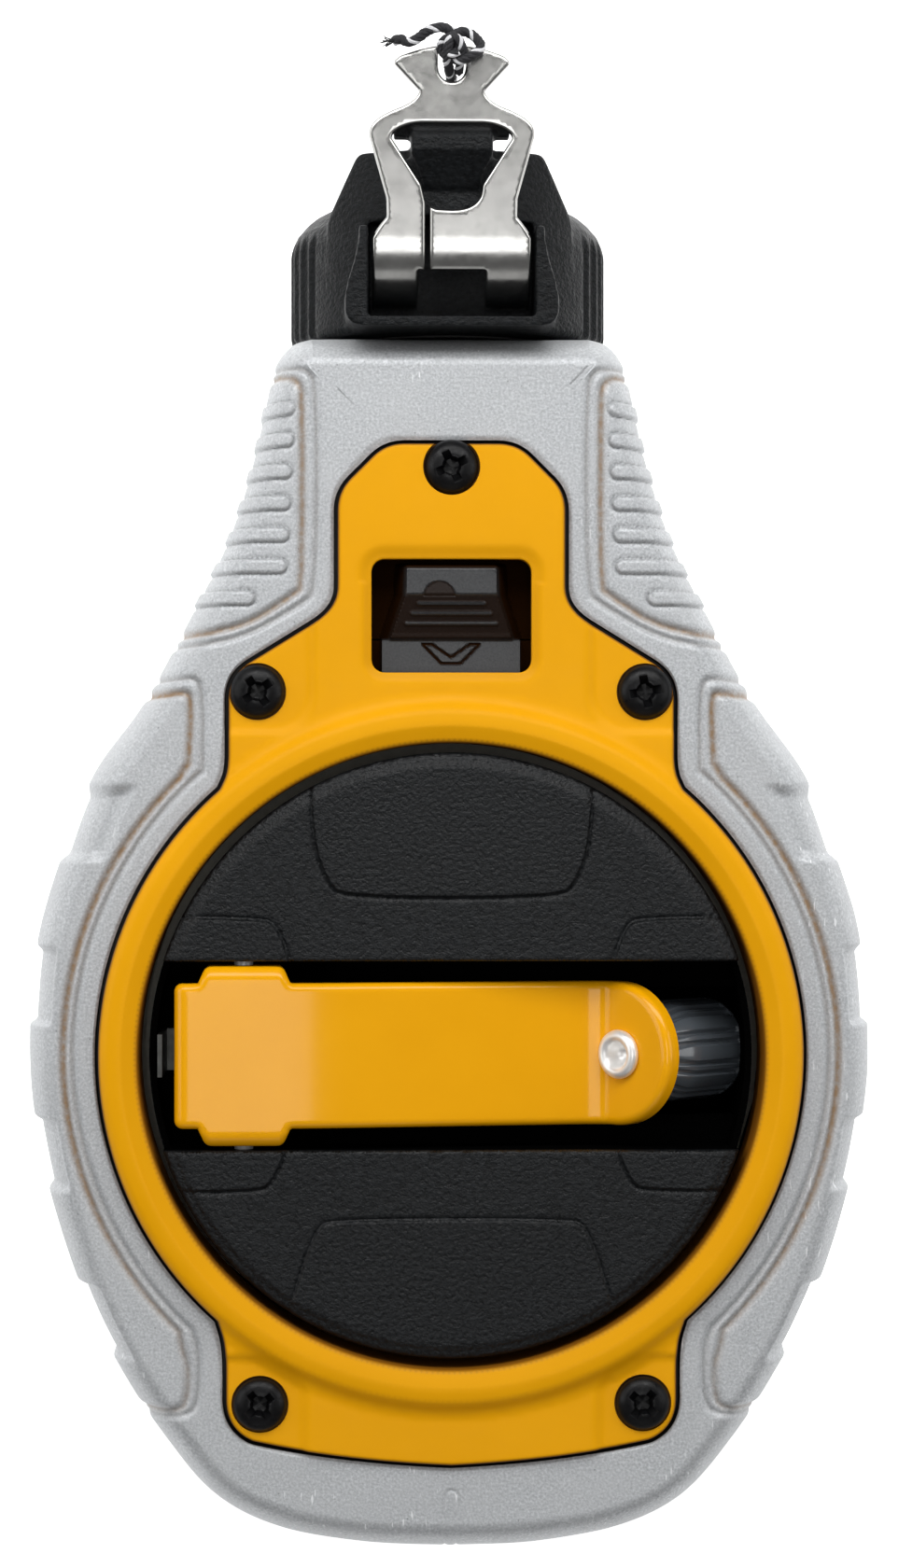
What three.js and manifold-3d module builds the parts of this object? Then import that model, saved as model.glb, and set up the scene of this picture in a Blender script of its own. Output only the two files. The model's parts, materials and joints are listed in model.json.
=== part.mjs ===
// Chalk line reel: a die-cast bucket case with a screwed-on front cover, a folding-arm crank disc
// that drives a line spool through a 5:1 planetary train, a sliding crank lock, and a twist-off
// nose cap that holds the end hook. Millimetres, +Z up: the reel lies on its back, +Y points
// towards the hook, and the origin is where the crank axis meets the flat back of the case.

import * as THREE from 'three';
import { mergeVertices } from 'three/addons/utils/BufferGeometryUtils.js';
import Module from 'manifold-3d';

const wasm = await Module();
wasm.setup();

// ---------------------------------------------------------------- driving dimensions
const GAP = 0.3;                 // clearance left between pieces that touch

const CASE_FACE_Z = 52;          // height of the case's front face over its flat back
const CASE_WALL = 3;
const CASE_EDGE_DEPTH = 11;      // the rounded edge, measured along Z
const CASE_EDGE_INSET = 4.5;     // the rounded edge, measured inwards
const NECK_TOP_Y = 95;
const LEDGE_Z = 50;              // the step that the cover lies on
const LEDGE_WIDTH = 2.2;

const COVER_BACK_Z = LEDGE_Z + GAP;
const COVER_TOP_Z = 53.2;
const COVER_FIT = 0.55;          // gap all round between the cover and the case
const BEAD_TOP_Z = 54.9;
const RING_R = 46.2;             // outside of the cover's round bead
const OPENING_R = 41;            // the hole that the crank disc turns in
const COVER_SCREWS = [[0, 77.2], [25.4, 47.7], [-25.4, 47.7], [25.1, -45.6], [-25.1, -45.6]];

const WINDOW = { halfWidth: 10.5, low: 50.2, high: 65.1 };
const SLIDER_TRAVEL = 4.8;

const DISC_R = 39.75;
const DISC_INNER_R = 36.5;
const DISC_TOP_Z = 53.6;
const DISC_BACK_Z = 29;
const SLOT_HALF_WIDTH = 12.4;
const SLOT_FLOOR_Z = 44;
const LOCK_NOTCHES = 24;

const HINGE = { x: -27.3, z: 49.5 };
const ARM_HALF_WIDTH = 9.5;
const ARM_SHEET = 1.4;
const ARM_FLANGE = 2.3;
const ARM_TOP_Z = 54.2;
const TIP_BEND = { x: 20, z: 48.3 };
const TIP_ANGLE = THREE.MathUtils.degToRad(44);
const RIVET_ALONG_TIP = 3.2;
const KNOB_LENGTH = 16.7;
const KNOB_R = 6.8;

const GEAR_MODULE = 1;
const RING_TEETH = 60;
const PLANET_TEETH = 24;
const SUN_TEETH = 12;
const PLANET_ORBIT_R = 18;
const PLANET_ANGLES = [90, 210, 330].map(THREE.MathUtils.degToRad);

const AXLE_R = 3;
const BORE_R = AXLE_R + GAP;
const SPOOL_R = 43;
const SPOOL_CORE_R = 13;
const SPOOL_BACK_Z = 3.4;
const SPOOL_FRONT_Z = 19.8;
const FLANGE = 1.4;
const WINDING_R = 41;
const PLATE_Z = 20.3;
const PLATE_TOP_Z = 22.3;
const PLATE_SCREWS = [[20, 42.5], [-20, 42.5], [17, -44], [-17, -44]];
const GEAR_SCREW_R = 35.5;
const GEAR_SCREW_ANGLES = [90, 225, 315].map(THREE.MathUtils.degToRad);

const CAP_AXIS_Z = 28.5;
const CAP_R = 21.5;
const CAP_BACK_Y = NECK_TOP_Y + 0.4;
const SPIGOT_R = 13;
const SPIGOT_BORE_R = 10.6;
const CAP_TWIST = THREE.MathUtils.degToRad(60);
const NOSE_TIP_Y = 119.3;
const HOOK_BACK_Z = 54;
const HOOK_SHEET = 1.2;
const LINE_R = 0.7;

// ---------------------------------------------------------------- materials
const paint = (color, roughness, metalness) =>
  new THREE.MeshStandardMaterial({ color, roughness, metalness });

const MATERIALS = {
  castSilver: paint(0xc4c7ca, 0.5, 0.6),
  yellow: paint(0xf0ac1e, 0.45, 0),
  yellowPaint: paint(0xf3ad1c, 0.2, 0.2),
  black: paint(0x232527, 0.6, 0),
  glossBlack: paint(0x17191c, 0.25, 0),
  darkGrey: paint(0x2c2d2f, 0.5, 0),
  screwBlack: paint(0x18191a, 0.35, 0.7),
  steel: paint(0xc9c9c6, 0.22, 1),
  nylon: paint(0xd9d4c4, 0.5, 0),
  rubber: paint(0x1d1d1d, 0.85, 0),
  felt: paint(0xb9b2a4, 0.95, 0),
  cord: paint(0x2a2a2c, 0.9, 0),
};

// ---------------------------------------------------------------- solids and outlines
function closedTriangles(geometry) {
  const bare = geometry.clone();
  bare.deleteAttribute('normal');
  bare.deleteAttribute('uv');
  const merged = mergeVertices(bare);
  const position = merged.attributes.position;
  const index = merged.index.array;
  const [a, b, c] = [new THREE.Vector3(), new THREE.Vector3(), new THREE.Vector3()];
  const triangles = [];
  let volume = 0;
  for (let i = 0; i < index.length; i += 3) {
    const [i0, i1, i2] = [index[i], index[i + 1], index[i + 2]];
    if (i0 === i1 || i1 === i2 || i2 === i0) continue;
    a.fromBufferAttribute(position, i0);
    b.fromBufferAttribute(position, i1);
    c.fromBufferAttribute(position, i2);
    volume += a.dot(b.cross(c));
    triangles.push([i0, i1, i2]);
  }
  const outward = volume < 0 ? triangles.map(([p, q, r]) => [p, r, q]) : triangles;
  return { vertices: new Float32Array(position.array), triangles: new Uint32Array(outward.flat()) };
}

function solid(geometry) {
  const { vertices, triangles } = closedTriangles(geometry);
  const mesh = new wasm.Mesh({ numProp: 3, vertProperties: vertices, triVerts: triangles });
  return new wasm.Manifold(mesh);
}

function geometryOf(manifold) {
  const mesh = manifold.getMesh();
  const geometry = new THREE.BufferGeometry();
  geometry.setAttribute('position', new THREE.BufferAttribute(mesh.vertProperties, 3));
  geometry.setIndex(new THREE.BufferAttribute(mesh.triVerts, 1));
  geometry.computeVertexNormals();
  return geometry;
}

const joined = (first, ...rest) => rest.reduce((sum, piece) => sum.add(piece), first);
const cut = (base, ...tools) => tools.reduce((rest, tool) => rest.subtract(tool), base);

function block(x0, x1, y0, y1, z0, z1) {
  const geometry = new THREE.BoxGeometry(x1 - x0, y1 - y0, z1 - z0);
  geometry.translate((x0 + x1) / 2, (y0 + y1) / 2, (z0 + z1) / 2);
  return solid(geometry);
}

// A cylinder along Z, between two heights.
function rod(x, y, radius, z0, z1, sides = 12) {
  const geometry = new THREE.CylinderGeometry(radius, radius, z1 - z0, sides);
  geometry.rotateX(Math.PI / 2);
  geometry.translate(x, y, (z0 + z1) / 2);
  return solid(geometry);
}

// A cylinder along Y, centred on the nose cap's axis.
function capRod(radius, y0, y1, sides = 24) {
  const geometry = new THREE.CylinderGeometry(radius, radius, y1 - y0, sides);
  geometry.translate(0, (y0 + y1) / 2, CAP_AXIS_Z);
  return solid(geometry);
}

// A body turned about Z from [radius, height] pairs.
function turned(profile, sides = 48) {
  const closed = profile[0][0] === 0 ? profile : [...profile, profile[0]];
  const geometry = new THREE.LatheGeometry(closed.map(([r, z]) => new THREE.Vector2(r, z)), sides);
  geometry.rotateX(Math.PI / 2);
  return solid(geometry);
}

// The same, about the nose cap's axis, from [radius, distance along Y] pairs.
function capTurned(profile, sides = 24) {
  const closed = profile[0][0] === 0 ? profile : [...profile, profile[0]];
  const geometry = new THREE.LatheGeometry(closed.map(([r, y]) => new THREE.Vector2(r, y)), sides);
  geometry.translate(0, 0, CAP_AXIS_Z);
  return solid(geometry);
}

const points = (pairs) => pairs.map(([x, y]) => new THREE.Vector2(x, y));

// A plate of one outline, seen along Z.
function plate(outline, z0, z1) {
  const shape = outline instanceof THREE.Shape ? outline : new THREE.Shape(outline);
  const geometry = new THREE.ExtrudeGeometry(shape, { depth: z1 - z0, bevelEnabled: false });
  geometry.translate(0, 0, z0);
  return solid(geometry);
}

// A plate whose two edges are rounded off inwards.
function roundedPlate(outline, z0, z1, edgeDepth, edgeInset, segments) {
  const geometry = new THREE.ExtrudeGeometry(new THREE.Shape(outline), {
    depth: z1 - z0 - 2 * edgeDepth,
    bevelThickness: edgeDepth,
    bevelSize: edgeInset,
    bevelOffset: -edgeInset,
    bevelSegments: segments,
  });
  geometry.translate(0, 0, z0 + edgeDepth);
  return solid(geometry);
}

// An outline of [x, z] pairs swept across Y.
function acrossY(outline, y0, y1) {
  const shape = new THREE.Shape(points(outline));
  const geometry = new THREE.ExtrudeGeometry(shape, { depth: y1 - y0, bevelEnabled: false });
  geometry.rotateX(Math.PI / 2);
  geometry.translate(0, y1, 0);
  return solid(geometry);
}

// An outline of [y, z] pairs swept across X.
function acrossX(outline, x0, x1) {
  const shape = new THREE.Shape(points(outline));
  const geometry = new THREE.ExtrudeGeometry(shape, { depth: x1 - x0, bevelEnabled: false });
  geometry.rotateY(Math.PI / 2);
  geometry.rotateX(Math.PI / 2);
  geometry.translate(x0, 0, 0);
  return solid(geometry);
}

// A right-hand side, from bottom to top, closed by its mirror image.
function mirrored(rightSide) {
  const left = rightSide.filter((p) => p.x > 1e-6).reverse();
  return [...rightSide, ...left.map((p) => new THREE.Vector2(-p.x, p.y))];
}

// Moves a closed anticlockwise outline outwards by a distance.
function offset(outline, distance) {
  return outline.map((point, i) => {
    const before = outline[(i + outline.length - 1) % outline.length];
    const after = outline[(i + 1) % outline.length];
    const u = point.clone().sub(before).normalize();
    const v = after.clone().sub(point).normalize();
    const normal = new THREE.Vector2(u.y + v.y, -u.x - v.x).normalize();
    const stretch = Math.min(1 / Math.max(normal.dot(new THREE.Vector2(u.y, -u.x)), 0.5), 2);
    return point.clone().addScaledVector(normal, distance * stretch);
  });
}

function tube(route, radius, steps) {
  const section = new THREE.Shape();
  section.absarc(0, 0, radius, 0, 2 * Math.PI);
  const path = new THREE.CatmullRomCurve3(route.map(([x, y, z]) => new THREE.Vector3(x, y, z)));
  return solid(new THREE.ExtrudeGeometry(section, { extrudePath: path, steps, curveSegments: 4 }));
}

// ---------------------------------------------------------------- case
const CASE_SIDE = [
  [0, -66], [12, -65.4], [22.9, -63.3], [31, -59.3], [37.5, -52], [43.5, -43], [48.8, -32.5],
  [53, -20], [55.6, -7], [56, 4], [54.8, 16], [51.5, 27], [47.5, 37], [40.5, 47], [34.3, 58.5],
  [29.4, 68.6], [26.2, 78.8], [24.4, 87], [23.6, 90.5],
];

function caseRightSide() {
  const side = new THREE.SplineCurve(points(CASE_SIDE)).getPoints(Math.round(1.5 * CASE_SIDE.length));
  return [...side, ...points([[22.5, 92.7], [20.8, 94.3], [18.5, NECK_TOP_Y]])];
}

// The straight grip pads that are cut into each side wall, as spans of Y.
const GRIP_CUTS = [[25.6, 34.3], [3.9, 14.1], [-17.9, -8.5], [-40.3, -30.3]];
const GRIP_CUT_DEPTH = 0.7;

function sideWidthAt(rightSide, y) {
  const above = rightSide.findIndex((p) => p.y >= y);
  const [p, q] = [rightSide[above - 1], rightSide[above]];
  return p.x + ((q.x - p.x) * (y - p.y)) / (q.y - p.y);
}

function gripCut(rightSide, [low, high], side) {
  const start = new THREE.Vector2(sideWidthAt(rightSide, low), low);
  const end = new THREE.Vector2(sideWidthAt(rightSide, high), high);
  const along = end.clone().sub(start).normalize();
  const out = new THREE.Vector2(along.y, -along.x);
  const corners = [
    start.clone().addScaledVector(along, 1).addScaledVector(out, -GRIP_CUT_DEPTH),
    start.clone().addScaledVector(out, 3),
    end.clone().addScaledVector(out, 3),
    end.clone().addScaledVector(along, -1).addScaledVector(out, -GRIP_CUT_DEPTH),
  ];
  return plate(corners.map((p) => new THREE.Vector2(side * p.x, p.y)), -1, CASE_FACE_Z + 1);
}

// The raised finger ribs on the neck's two sides.
const RIB_PITCH = 4.15;
const RIB_LOWEST_Y = 60;
const RIB_HEIGHT = 1.7;
const RIB_PROUD = 0.45;

function neckRibs(outline) {
  const proud = roundedPlate(
    offset(outline, RIB_PROUD), -RIB_PROUD, CASE_FACE_Z + RIB_PROUD,
    CASE_EDGE_DEPTH, CASE_EDGE_INSET, 2,
  );
  const inner = [25.5, 21.4, 21.1, 20.9, 20.7, 20.5, 20.4];
  const bars = inner.flatMap((x, i) => {
    const y = RIB_LOWEST_Y + i * RIB_PITCH;
    return [[x, 40], [-40, -x]].map(([x0, x1]) =>
      block(x0, x1, y - RIB_HEIGHT / 2, y + RIB_HEIGHT / 2, CASE_EDGE_DEPTH, 60));
  });
  return bars.map((bar) => bar.intersect(proud));
}

function spigot() {
  const lugs = capTurned([[SPIGOT_R - 1, 99.5], [14.6, 99.5], [14.6, 101.5], [SPIGOT_R - 1, 101.5]])
    .intersect(block(-16, 16, 99, 102, CAP_AXIS_Z - 4.2, CAP_AXIS_Z + 4.2));
  return joined(capRod(SPIGOT_R, NECK_TOP_Y - 4, 103.5), lugs);
}

function caseShell() {
  const rightSide = caseRightSide();
  const outline = mirrored(rightSide);
  const body = roundedPlate(outline, 0, CASE_FACE_Z, CASE_EDGE_DEPTH, CASE_EDGE_INSET, 2);
  const cavity = plate(offset(outline, -CASE_WALL), 2.8, LEDGE_Z - 2.5);
  const cover = coverOutline();
  const shell = cut(
    joined(body, ...neckRibs(outline)),
    cavity,
    plate(offset(cover, COVER_FIT), LEDGE_Z, CASE_FACE_Z + 2),
    plate(offset(cover, -LEDGE_WIDTH), LEDGE_Z - 4, LEDGE_Z + 1),
    ...GRIP_CUTS.flatMap((span) => [gripCut(rightSide, span, 1), gripCut(rightSide, span, -1)]),
  );
  const coverBosses = COVER_SCREWS.map(([x, y]) => rod(x, y, 4, 36, LEDGE_Z, 10));
  const plateBosses = PLATE_SCREWS.map(([x, y]) => rod(x, y, 3, 2, PLATE_Z - GAP, 8));
  const withBosses = joined(shell, ...coverBosses, ...plateBosses, rod(0, 0, 7, 2, 8.5), spigot());
  return cut(
    withBosses,
    ...COVER_SCREWS.map(([x, y]) => rod(x, y, 1.9, 39, 60, 8)),
    ...PLATE_SCREWS.map(([x, y]) => rod(x, y, 1.5, 10, 30, 8)),
    rod(0, 0, BORE_R, 2.9, 20),
    capRod(SPIGOT_BORE_R, NECK_TOP_Y - 6, 110),
  );
}

// ---------------------------------------------------------------- front cover and its screws
function coverOutline() {
  const toRadians = THREE.MathUtils.degToRad;
  const right = new THREE.Path();
  right.moveTo(0, -53.7);
  right.quadraticCurveTo(15, -53, 26, -50.5);
  right.quadraticCurveTo(29.5, -49, 29.5, -45);
  right.lineTo(29.5, -37);
  right.absarc(0, 0, RING_R, toRadians(-48.5), toRadians(49), false);
  right.lineTo(29.2, 37.3);
  right.lineTo(29.2, 46.6);
  right.quadraticCurveTo(29.2, 49.9, 26.3, 51.6);
  right.lineTo(18.2, 56.6);
  right.quadraticCurveTo(14.9, 58.6, 14.9, 61.5);
  right.lineTo(14.9, 71.4);
  right.quadraticCurveTo(14.9, 73.9, 13.2, 75.6);
  right.lineTo(10.3, 78.5);
  right.quadraticCurveTo(8.6, 80.2, 6.1, 80.2);
  right.lineTo(0, 80.2);
  return mirrored(right.getPoints(3));
}

function frontCover() {
  const beadAndSkirt = turned([
    [OPENING_R, LEDGE_Z - 6], [OPENING_R, 53.9], [42.2, 54.8], [43.6, BEAD_TOP_Z],
    [45.1, 54.3], [46, COVER_TOP_Z - 0.4], [46, COVER_BACK_Z], [42.6, COVER_BACK_Z],
    [42.6, LEDGE_Z - 6],
  ]);
  const { halfWidth, low, high } = WINDOW;
  return cut(
    joined(
      cut(roundedPlate(coverOutline(), COVER_BACK_Z, COVER_TOP_Z, 0.8, 0.8, 1),
        rod(0, 0, OPENING_R + 1, 40, 60, 48)),
      beadAndSkirt,
    ),
    block(-halfWidth, halfWidth, low, high, 40, 60),
    block(-halfWidth - 1.5, halfWidth + 1.5, low - 1.8, high + 2.5, COVER_TOP_Z - 0.9, 60),
    block(-2.4, 2.4, 40, 44, 40, COVER_BACK_Z + 0.1),
    ...COVER_SCREWS.map(([x, y]) => rod(x, y, 2.1, 40, 60, 8)),
    ...COVER_SCREWS.map(([x, y]) => rod(x, y, 4.1, COVER_TOP_Z - 1.6, 60, 14)),
  );
}

// A pan-head screw whose head rests at height z.
function panScrew(x, y, z, headR, headHeight, shankR, shankLength, sides = 14) {
  const screw = turned([
    [0, -shankLength], [shankR, -shankLength], [shankR, 0], [headR, 0],
    [headR, headHeight * 0.5], [headR * 0.7, headHeight * 0.92], [0, headHeight],
  ], sides);
  return screw.translate([x, y, z]);
}

// ---------------------------------------------------------------- fixed inner pieces
function bearingPlate() {
  const ears = PLATE_SCREWS.map(([x, y]) => rod(x, y, 4, PLATE_Z, PLATE_TOP_Z, 10));
  return cut(
    joined(rod(0, 0, 43.6, PLATE_Z, PLATE_TOP_Z, 32), ...ears),
    rod(0, 0, 8.5, 10, 30, 24),
    ...planetPlaces().map(([x, y]) => rod(x, y, 2.2, 10, 30, 10)),
    ...PLATE_SCREWS.map(([x, y]) => rod(x, y, 1.5, 10, 30, 8)),
  );
}

const planetPlaces = () =>
  PLANET_ANGLES.map((a) => [PLANET_ORBIT_R * Math.cos(a), PLANET_ORBIT_R * Math.sin(a)]);

const gearScrewPlaces = () =>
  GEAR_SCREW_ANGLES.map((a) => [GEAR_SCREW_R * Math.cos(a), GEAR_SCREW_R * Math.sin(a)]);

function spoolAxle() {
  return cut(rod(0, 0, AXLE_R, 3.2, SLOT_FLOOR_Z - GAP, 20), rod(0, 0, 1.7, 32, 50, 10));
}

function gearSealRing() {
  return turned([[38.8, 22.6], [41.3, 22.6], [41.3, 27], [38.8, 27]], 32);
}

function neckSeal() {
  return capTurned([[SPIGOT_R + 0.4, 95.3], [15, 95.3], [15, 97], [SPIGOT_R + 0.4, 97]]);
}

function sliderGuide() {
  return cut(
    block(-12.4, 12.4, 45, 72.4, 43.6, 49.9),
    block(-11.9, 11.9, 40, 71.9, 45, 60),
  );
}

// A bowed leaf under the slider that holds it at either end of its travel.
function sliderDetentSpring() {
  const bow = [[55, 45.3], [58, 45.9], [63, 45.9], [66, 45.3]];
  const under = [...bow].reverse().map(([y, z]) => [y, z - 0.25]);
  return acrossX([...bow, ...under], -3, 3).translate([0, 0, 0.05]);
}

// ---------------------------------------------------------------- crank disc and its drive
const SKIRT_TOP_Z = 45.3;
const SLOT_END_R = 38.9;         // the low wall that closes the slot's ends
const SLOT_END_TOP_Z = 49.5;

// The crank disc is in three: its top with the rim and the lock notches, the tray of its slot, and
// the outer wall below the notches, which the ring gear's flange holds on.
function crankDisc() {
  const cup = turned([
    [0, DISC_TOP_Z], [DISC_R - 0.85, DISC_TOP_Z], [DISC_R, DISC_TOP_Z - 0.8],
    [DISC_R, SKIRT_TOP_Z + GAP], [DISC_INNER_R, SKIRT_TOP_Z + GAP],
    [DISC_INNER_R, DISC_TOP_Z - 2], [0, DISC_TOP_Z - 2],
  ]);
  const bosses = joined(
    ...gearScrewPlaces().map(([x, y]) => rod(x, y, 2.6, DISC_BACK_Z, DISC_TOP_Z - 1, 12)),
  ).intersect(rod(0, 0, DISC_INNER_R - GAP, 20, 60, 48));
  const inSlot = [5, 6, 7, 17, 18, 19];
  const notches = Array.from({ length: LOCK_NOTCHES }, (_, i) => i)
    .filter((i) => !inSlot.includes(i))
    .map((i) => block(-2.3, 2.3, 38.2, 42, 45.9, 49.9).rotate([0, 0, (360 / LOCK_NOTCHES) * i]));
  return cut(
    joined(cup, bosses),
    block(-45, 45, -SLOT_HALF_WIDTH, SLOT_HALF_WIDTH, 40, 60).intersect(rod(0, 0, SLOT_END_R, 20, 60, 64)),
    block(-45, 45, -SLOT_HALF_WIDTH, SLOT_HALF_WIDTH, SLOT_END_TOP_Z, 60),
    block(16, 45, -8.6, 8.6, 30.4, 60),
    ...gearScrewPlaces().map(([x, y]) => rod(x, y, 1.3, 20, 40, 10)),
    ...notches,
  );
}

function crankTray() {
  const wide = SLOT_HALF_WIDTH + 2;
  const walls = joined(
    block(-39, -15, -wide, wide, 37, 60),
    block(-16, 38, -wide, wide, SLOT_FLOOR_Z - 2, 60),
    block(14.5, 38, -10.1, 10.1, DISC_BACK_Z, 60),
  ).intersect(rod(0, 0, DISC_INNER_R - GAP, 20, DISC_TOP_Z - 2 - GAP, 48));
  return cut(
    joined(walls, rod(0, 0, 6.5, DISC_BACK_Z, SLOT_FLOOR_Z - 1, 20)),
    block(-45, 45, -SLOT_HALF_WIDTH, SLOT_HALF_WIDTH, SLOT_FLOOR_Z, 60),
    block(-45, -16.5, -SLOT_HALF_WIDTH, SLOT_HALF_WIDTH, 39, 60),
    block(16, 45, -8.6, 8.6, 30.4, 60),
    rod(0, 0, BORE_R, 20, 60, 20),
    pinAcross(1.55, 14.4),
  );
}

function crankSkirt() {
  return cut(
    turned([
      [DISC_INNER_R, DISC_BACK_Z], [DISC_R, DISC_BACK_Z], [DISC_R, SKIRT_TOP_Z], [DISC_INNER_R, SKIRT_TOP_Z],
    ]),
    block(-45, -16.5, -SLOT_HALF_WIDTH, SLOT_HALF_WIDTH, 39, 60),
    block(16, 45, -8.6, 8.6, 30.4, 60),
  );
}

// A cylinder along the arm's hinge line.
function pinAcross(radius, halfLength) {
  const geometry = new THREE.CylinderGeometry(radius, radius, 2 * halfLength, 12);
  geometry.translate(HINGE.x, 0, HINGE.z);
  return solid(geometry);
}

// Straight-sided gear teeth, thinned for backlash. A ring gear's tips lie inside its roots.
function gearOutline(teeth, phase, rootR, tipR) {
  const pitchR = (teeth * GEAR_MODULE) / 2;
  const slope = Math.tan(THREE.MathUtils.degToRad(20));
  const halfAtPitch = (Math.PI * GEAR_MODULE) / 4 - 0.18;
  const outwards = Math.sign(tipR - rootR);
  const halfAt = (r) => halfAtPitch - outwards * (r - pitchR) * slope;
  const outline = [];
  for (let i = 0; i < teeth; i += 1) {
    const middle = phase + (2 * Math.PI * i) / teeth;
    for (const [r, side] of [[rootR, -1], [tipR, -1], [tipR, 1], [rootR, 1]]) {
      const angle = middle + (side * halfAt(r)) / r;
      outline.push(new THREE.Vector2(r * Math.cos(angle), r * Math.sin(angle)));
    }
  }
  return outline;
}

function crankRingGear() {
  const body = new THREE.Shape();
  body.absarc(0, 0, 32.6, 0, 2 * Math.PI);
  body.holes.push(new THREE.Path(gearOutline(RING_TEETH, 0, 31.15, 29.15)));
  const toothed = solid(new THREE.ExtrudeGeometry(body, {
    depth: 6, bevelEnabled: false, curveSegments: 24,
  }).translate(0, 0, 22.7));
  const flange = turned([[31.8, 27.3], [41.5, 27.3], [41.5, 28.7], [31.8, 28.7]]);
  return cut(
    joined(toothed, flange),
    ...gearScrewPlaces().map(([x, y]) => rod(x, y, 1.4, 20, 40, 10)),
  );
}

function planetPhase(angle) {
  return angle + Math.PI - (Math.PI - SUN_TEETH * angle) / PLANET_TEETH;
}

function planetGear(angle) {
  const [x, y] = [PLANET_ORBIT_R * Math.cos(angle), PLANET_ORBIT_R * Math.sin(angle)];
  const gear = plate(gearOutline(PLANET_TEETH, planetPhase(angle), 10.75, 12.9), 22.8, 26.8);
  return cut(gear, rod(0, 0, 2.2, 20, 30, 12)).translate([x, y, 0]);
}

function sunPinion() {
  return cut(plate(gearOutline(SUN_TEETH, 0, 4.8, 6.9), 21.8, 26.9), rod(0, 0, BORE_R, 20, 30));
}

// ---------------------------------------------------------------- spool
function lineSpool() {
  const [back, front] = [SPOOL_BACK_Z, SPOOL_FRONT_Z];
  return turned([
    [7.3, back], [SPOOL_R, back], [SPOOL_R, back + FLANGE], [SPOOL_CORE_R, back + FLANGE],
    [SPOOL_CORE_R, front - FLANGE], [SPOOL_R, front - FLANGE], [SPOOL_R, front], [8, front],
    [8, 21.5], [BORE_R, 21.5], [BORE_R, 9], [7.3, 9],
  ], 32);
}

function lineWinding() {
  const low = SPOOL_BACK_Z + FLANGE + GAP;
  const high = SPOOL_FRONT_Z - FLANGE - GAP;
  const inner = SPOOL_CORE_R + GAP;
  return turned([[inner, low], [WINDING_R, low], [WINDING_R, high], [inner, high]], 32);
}

// ---------------------------------------------------------------- folding arm and knob
// The tip plate's own frame: x along the plate, y across it, z out of its upper face.
function inTipFrame(manifold) {
  const degrees = THREE.MathUtils.radToDeg(TIP_ANGLE);
  return manifold.rotate([0, -degrees, 0]).translate([TIP_BEND.x, 0, TIP_BEND.z]);
}

function tipOutline(radius, start) {
  const shape = new THREE.Shape();
  shape.moveTo(start, -radius);
  shape.absarc(RIVET_ALONG_TIP, 0, radius, -Math.PI / 2, Math.PI / 2, false);
  shape.lineTo(start, radius);
  return shape.getPoints(8);
}

// The arm's long part in side view, as a band of one thickness below its upper face.
function armBand(thickness) {
  const top = [[-36.3, ARM_TOP_Z], [-17.1, ARM_TOP_Z], [TIP_BEND.x, TIP_BEND.z]];
  return [...top, ...[...top].reverse().map(([x, z]) => [x, z - thickness])];
}

function crankArm() {
  const w = ARM_HALF_WIDTH;
  const rim = [1, -1].map((side) => {
    const [y0, y1] = [side * w, side * (w - ARM_SHEET)].sort((a, b) => a - b);
    return acrossY(armBand(ARM_FLANGE), y0, y1);
  });
  const tip = joined(
    plate(tipOutline(w, -0.6), -ARM_SHEET, 0),
    cut(
      plate(tipOutline(w, -0.6), -ARM_FLANGE, 0),
      plate(tipOutline(w - ARM_SHEET, -3), -5, 1),
    ),
  );
  const ears = [1, -1].map((side) => {
    const [y0, y1] = [side * 10.5, side * 11.8].sort((a, b) => a - b);
    return block(-32.6, -21.6, y0, y1, 46.5, ARM_TOP_Z);
  });
  return cut(
    joined(
      acrossY(armBand(ARM_SHEET), -w, w), ...rim, inTipFrame(tip),
      block(-36.3, -34.9, -w, w, 50.4, ARM_TOP_Z),
      block(-32.6, -21.6, -11.8, 11.8, ARM_TOP_Z - ARM_SHEET, ARM_TOP_Z), ...ears,
    ),
    pinAcross(1.55, 20),
    inTipFrame(rod(RIVET_ALONG_TIP, 0, 2.3, -10, 10)),
  );
}

function armDetentSpring() {
  return acrossY([[-38.5, 39.4], [-33.5, 39.4], [-33.5, 39.9], [-37.9, 39.9], [-37.9, 52.5],
    [-38.5, 52.5]], -2.8, 2.8);
}

// Pieces on the knob's axis are turned with their height measured up from the arm's upper face.
function onKnobAxis(manifold) {
  return inTipFrame(manifold.translate([RIVET_ALONG_TIP, 0, 0]));
}

function knobRivet() {
  const end = -ARM_SHEET - KNOB_LENGTH + 1;
  return onKnobAxis(cut(
    turned([
      [0, end], [3.4, end], [3.4, end + 0.8], [1.9, end + 0.8], [1.9, GAP], [3.25, GAP],
      [3.25, 0.8], [2.5, 1.3], [0, 1.3],
    ], 20),
    rod(0, 0, 1, -2, 3, 12),
  ));
}

const KNOB_FLUTES = 12;
const KNOB_CONE = 6.6;

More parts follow.
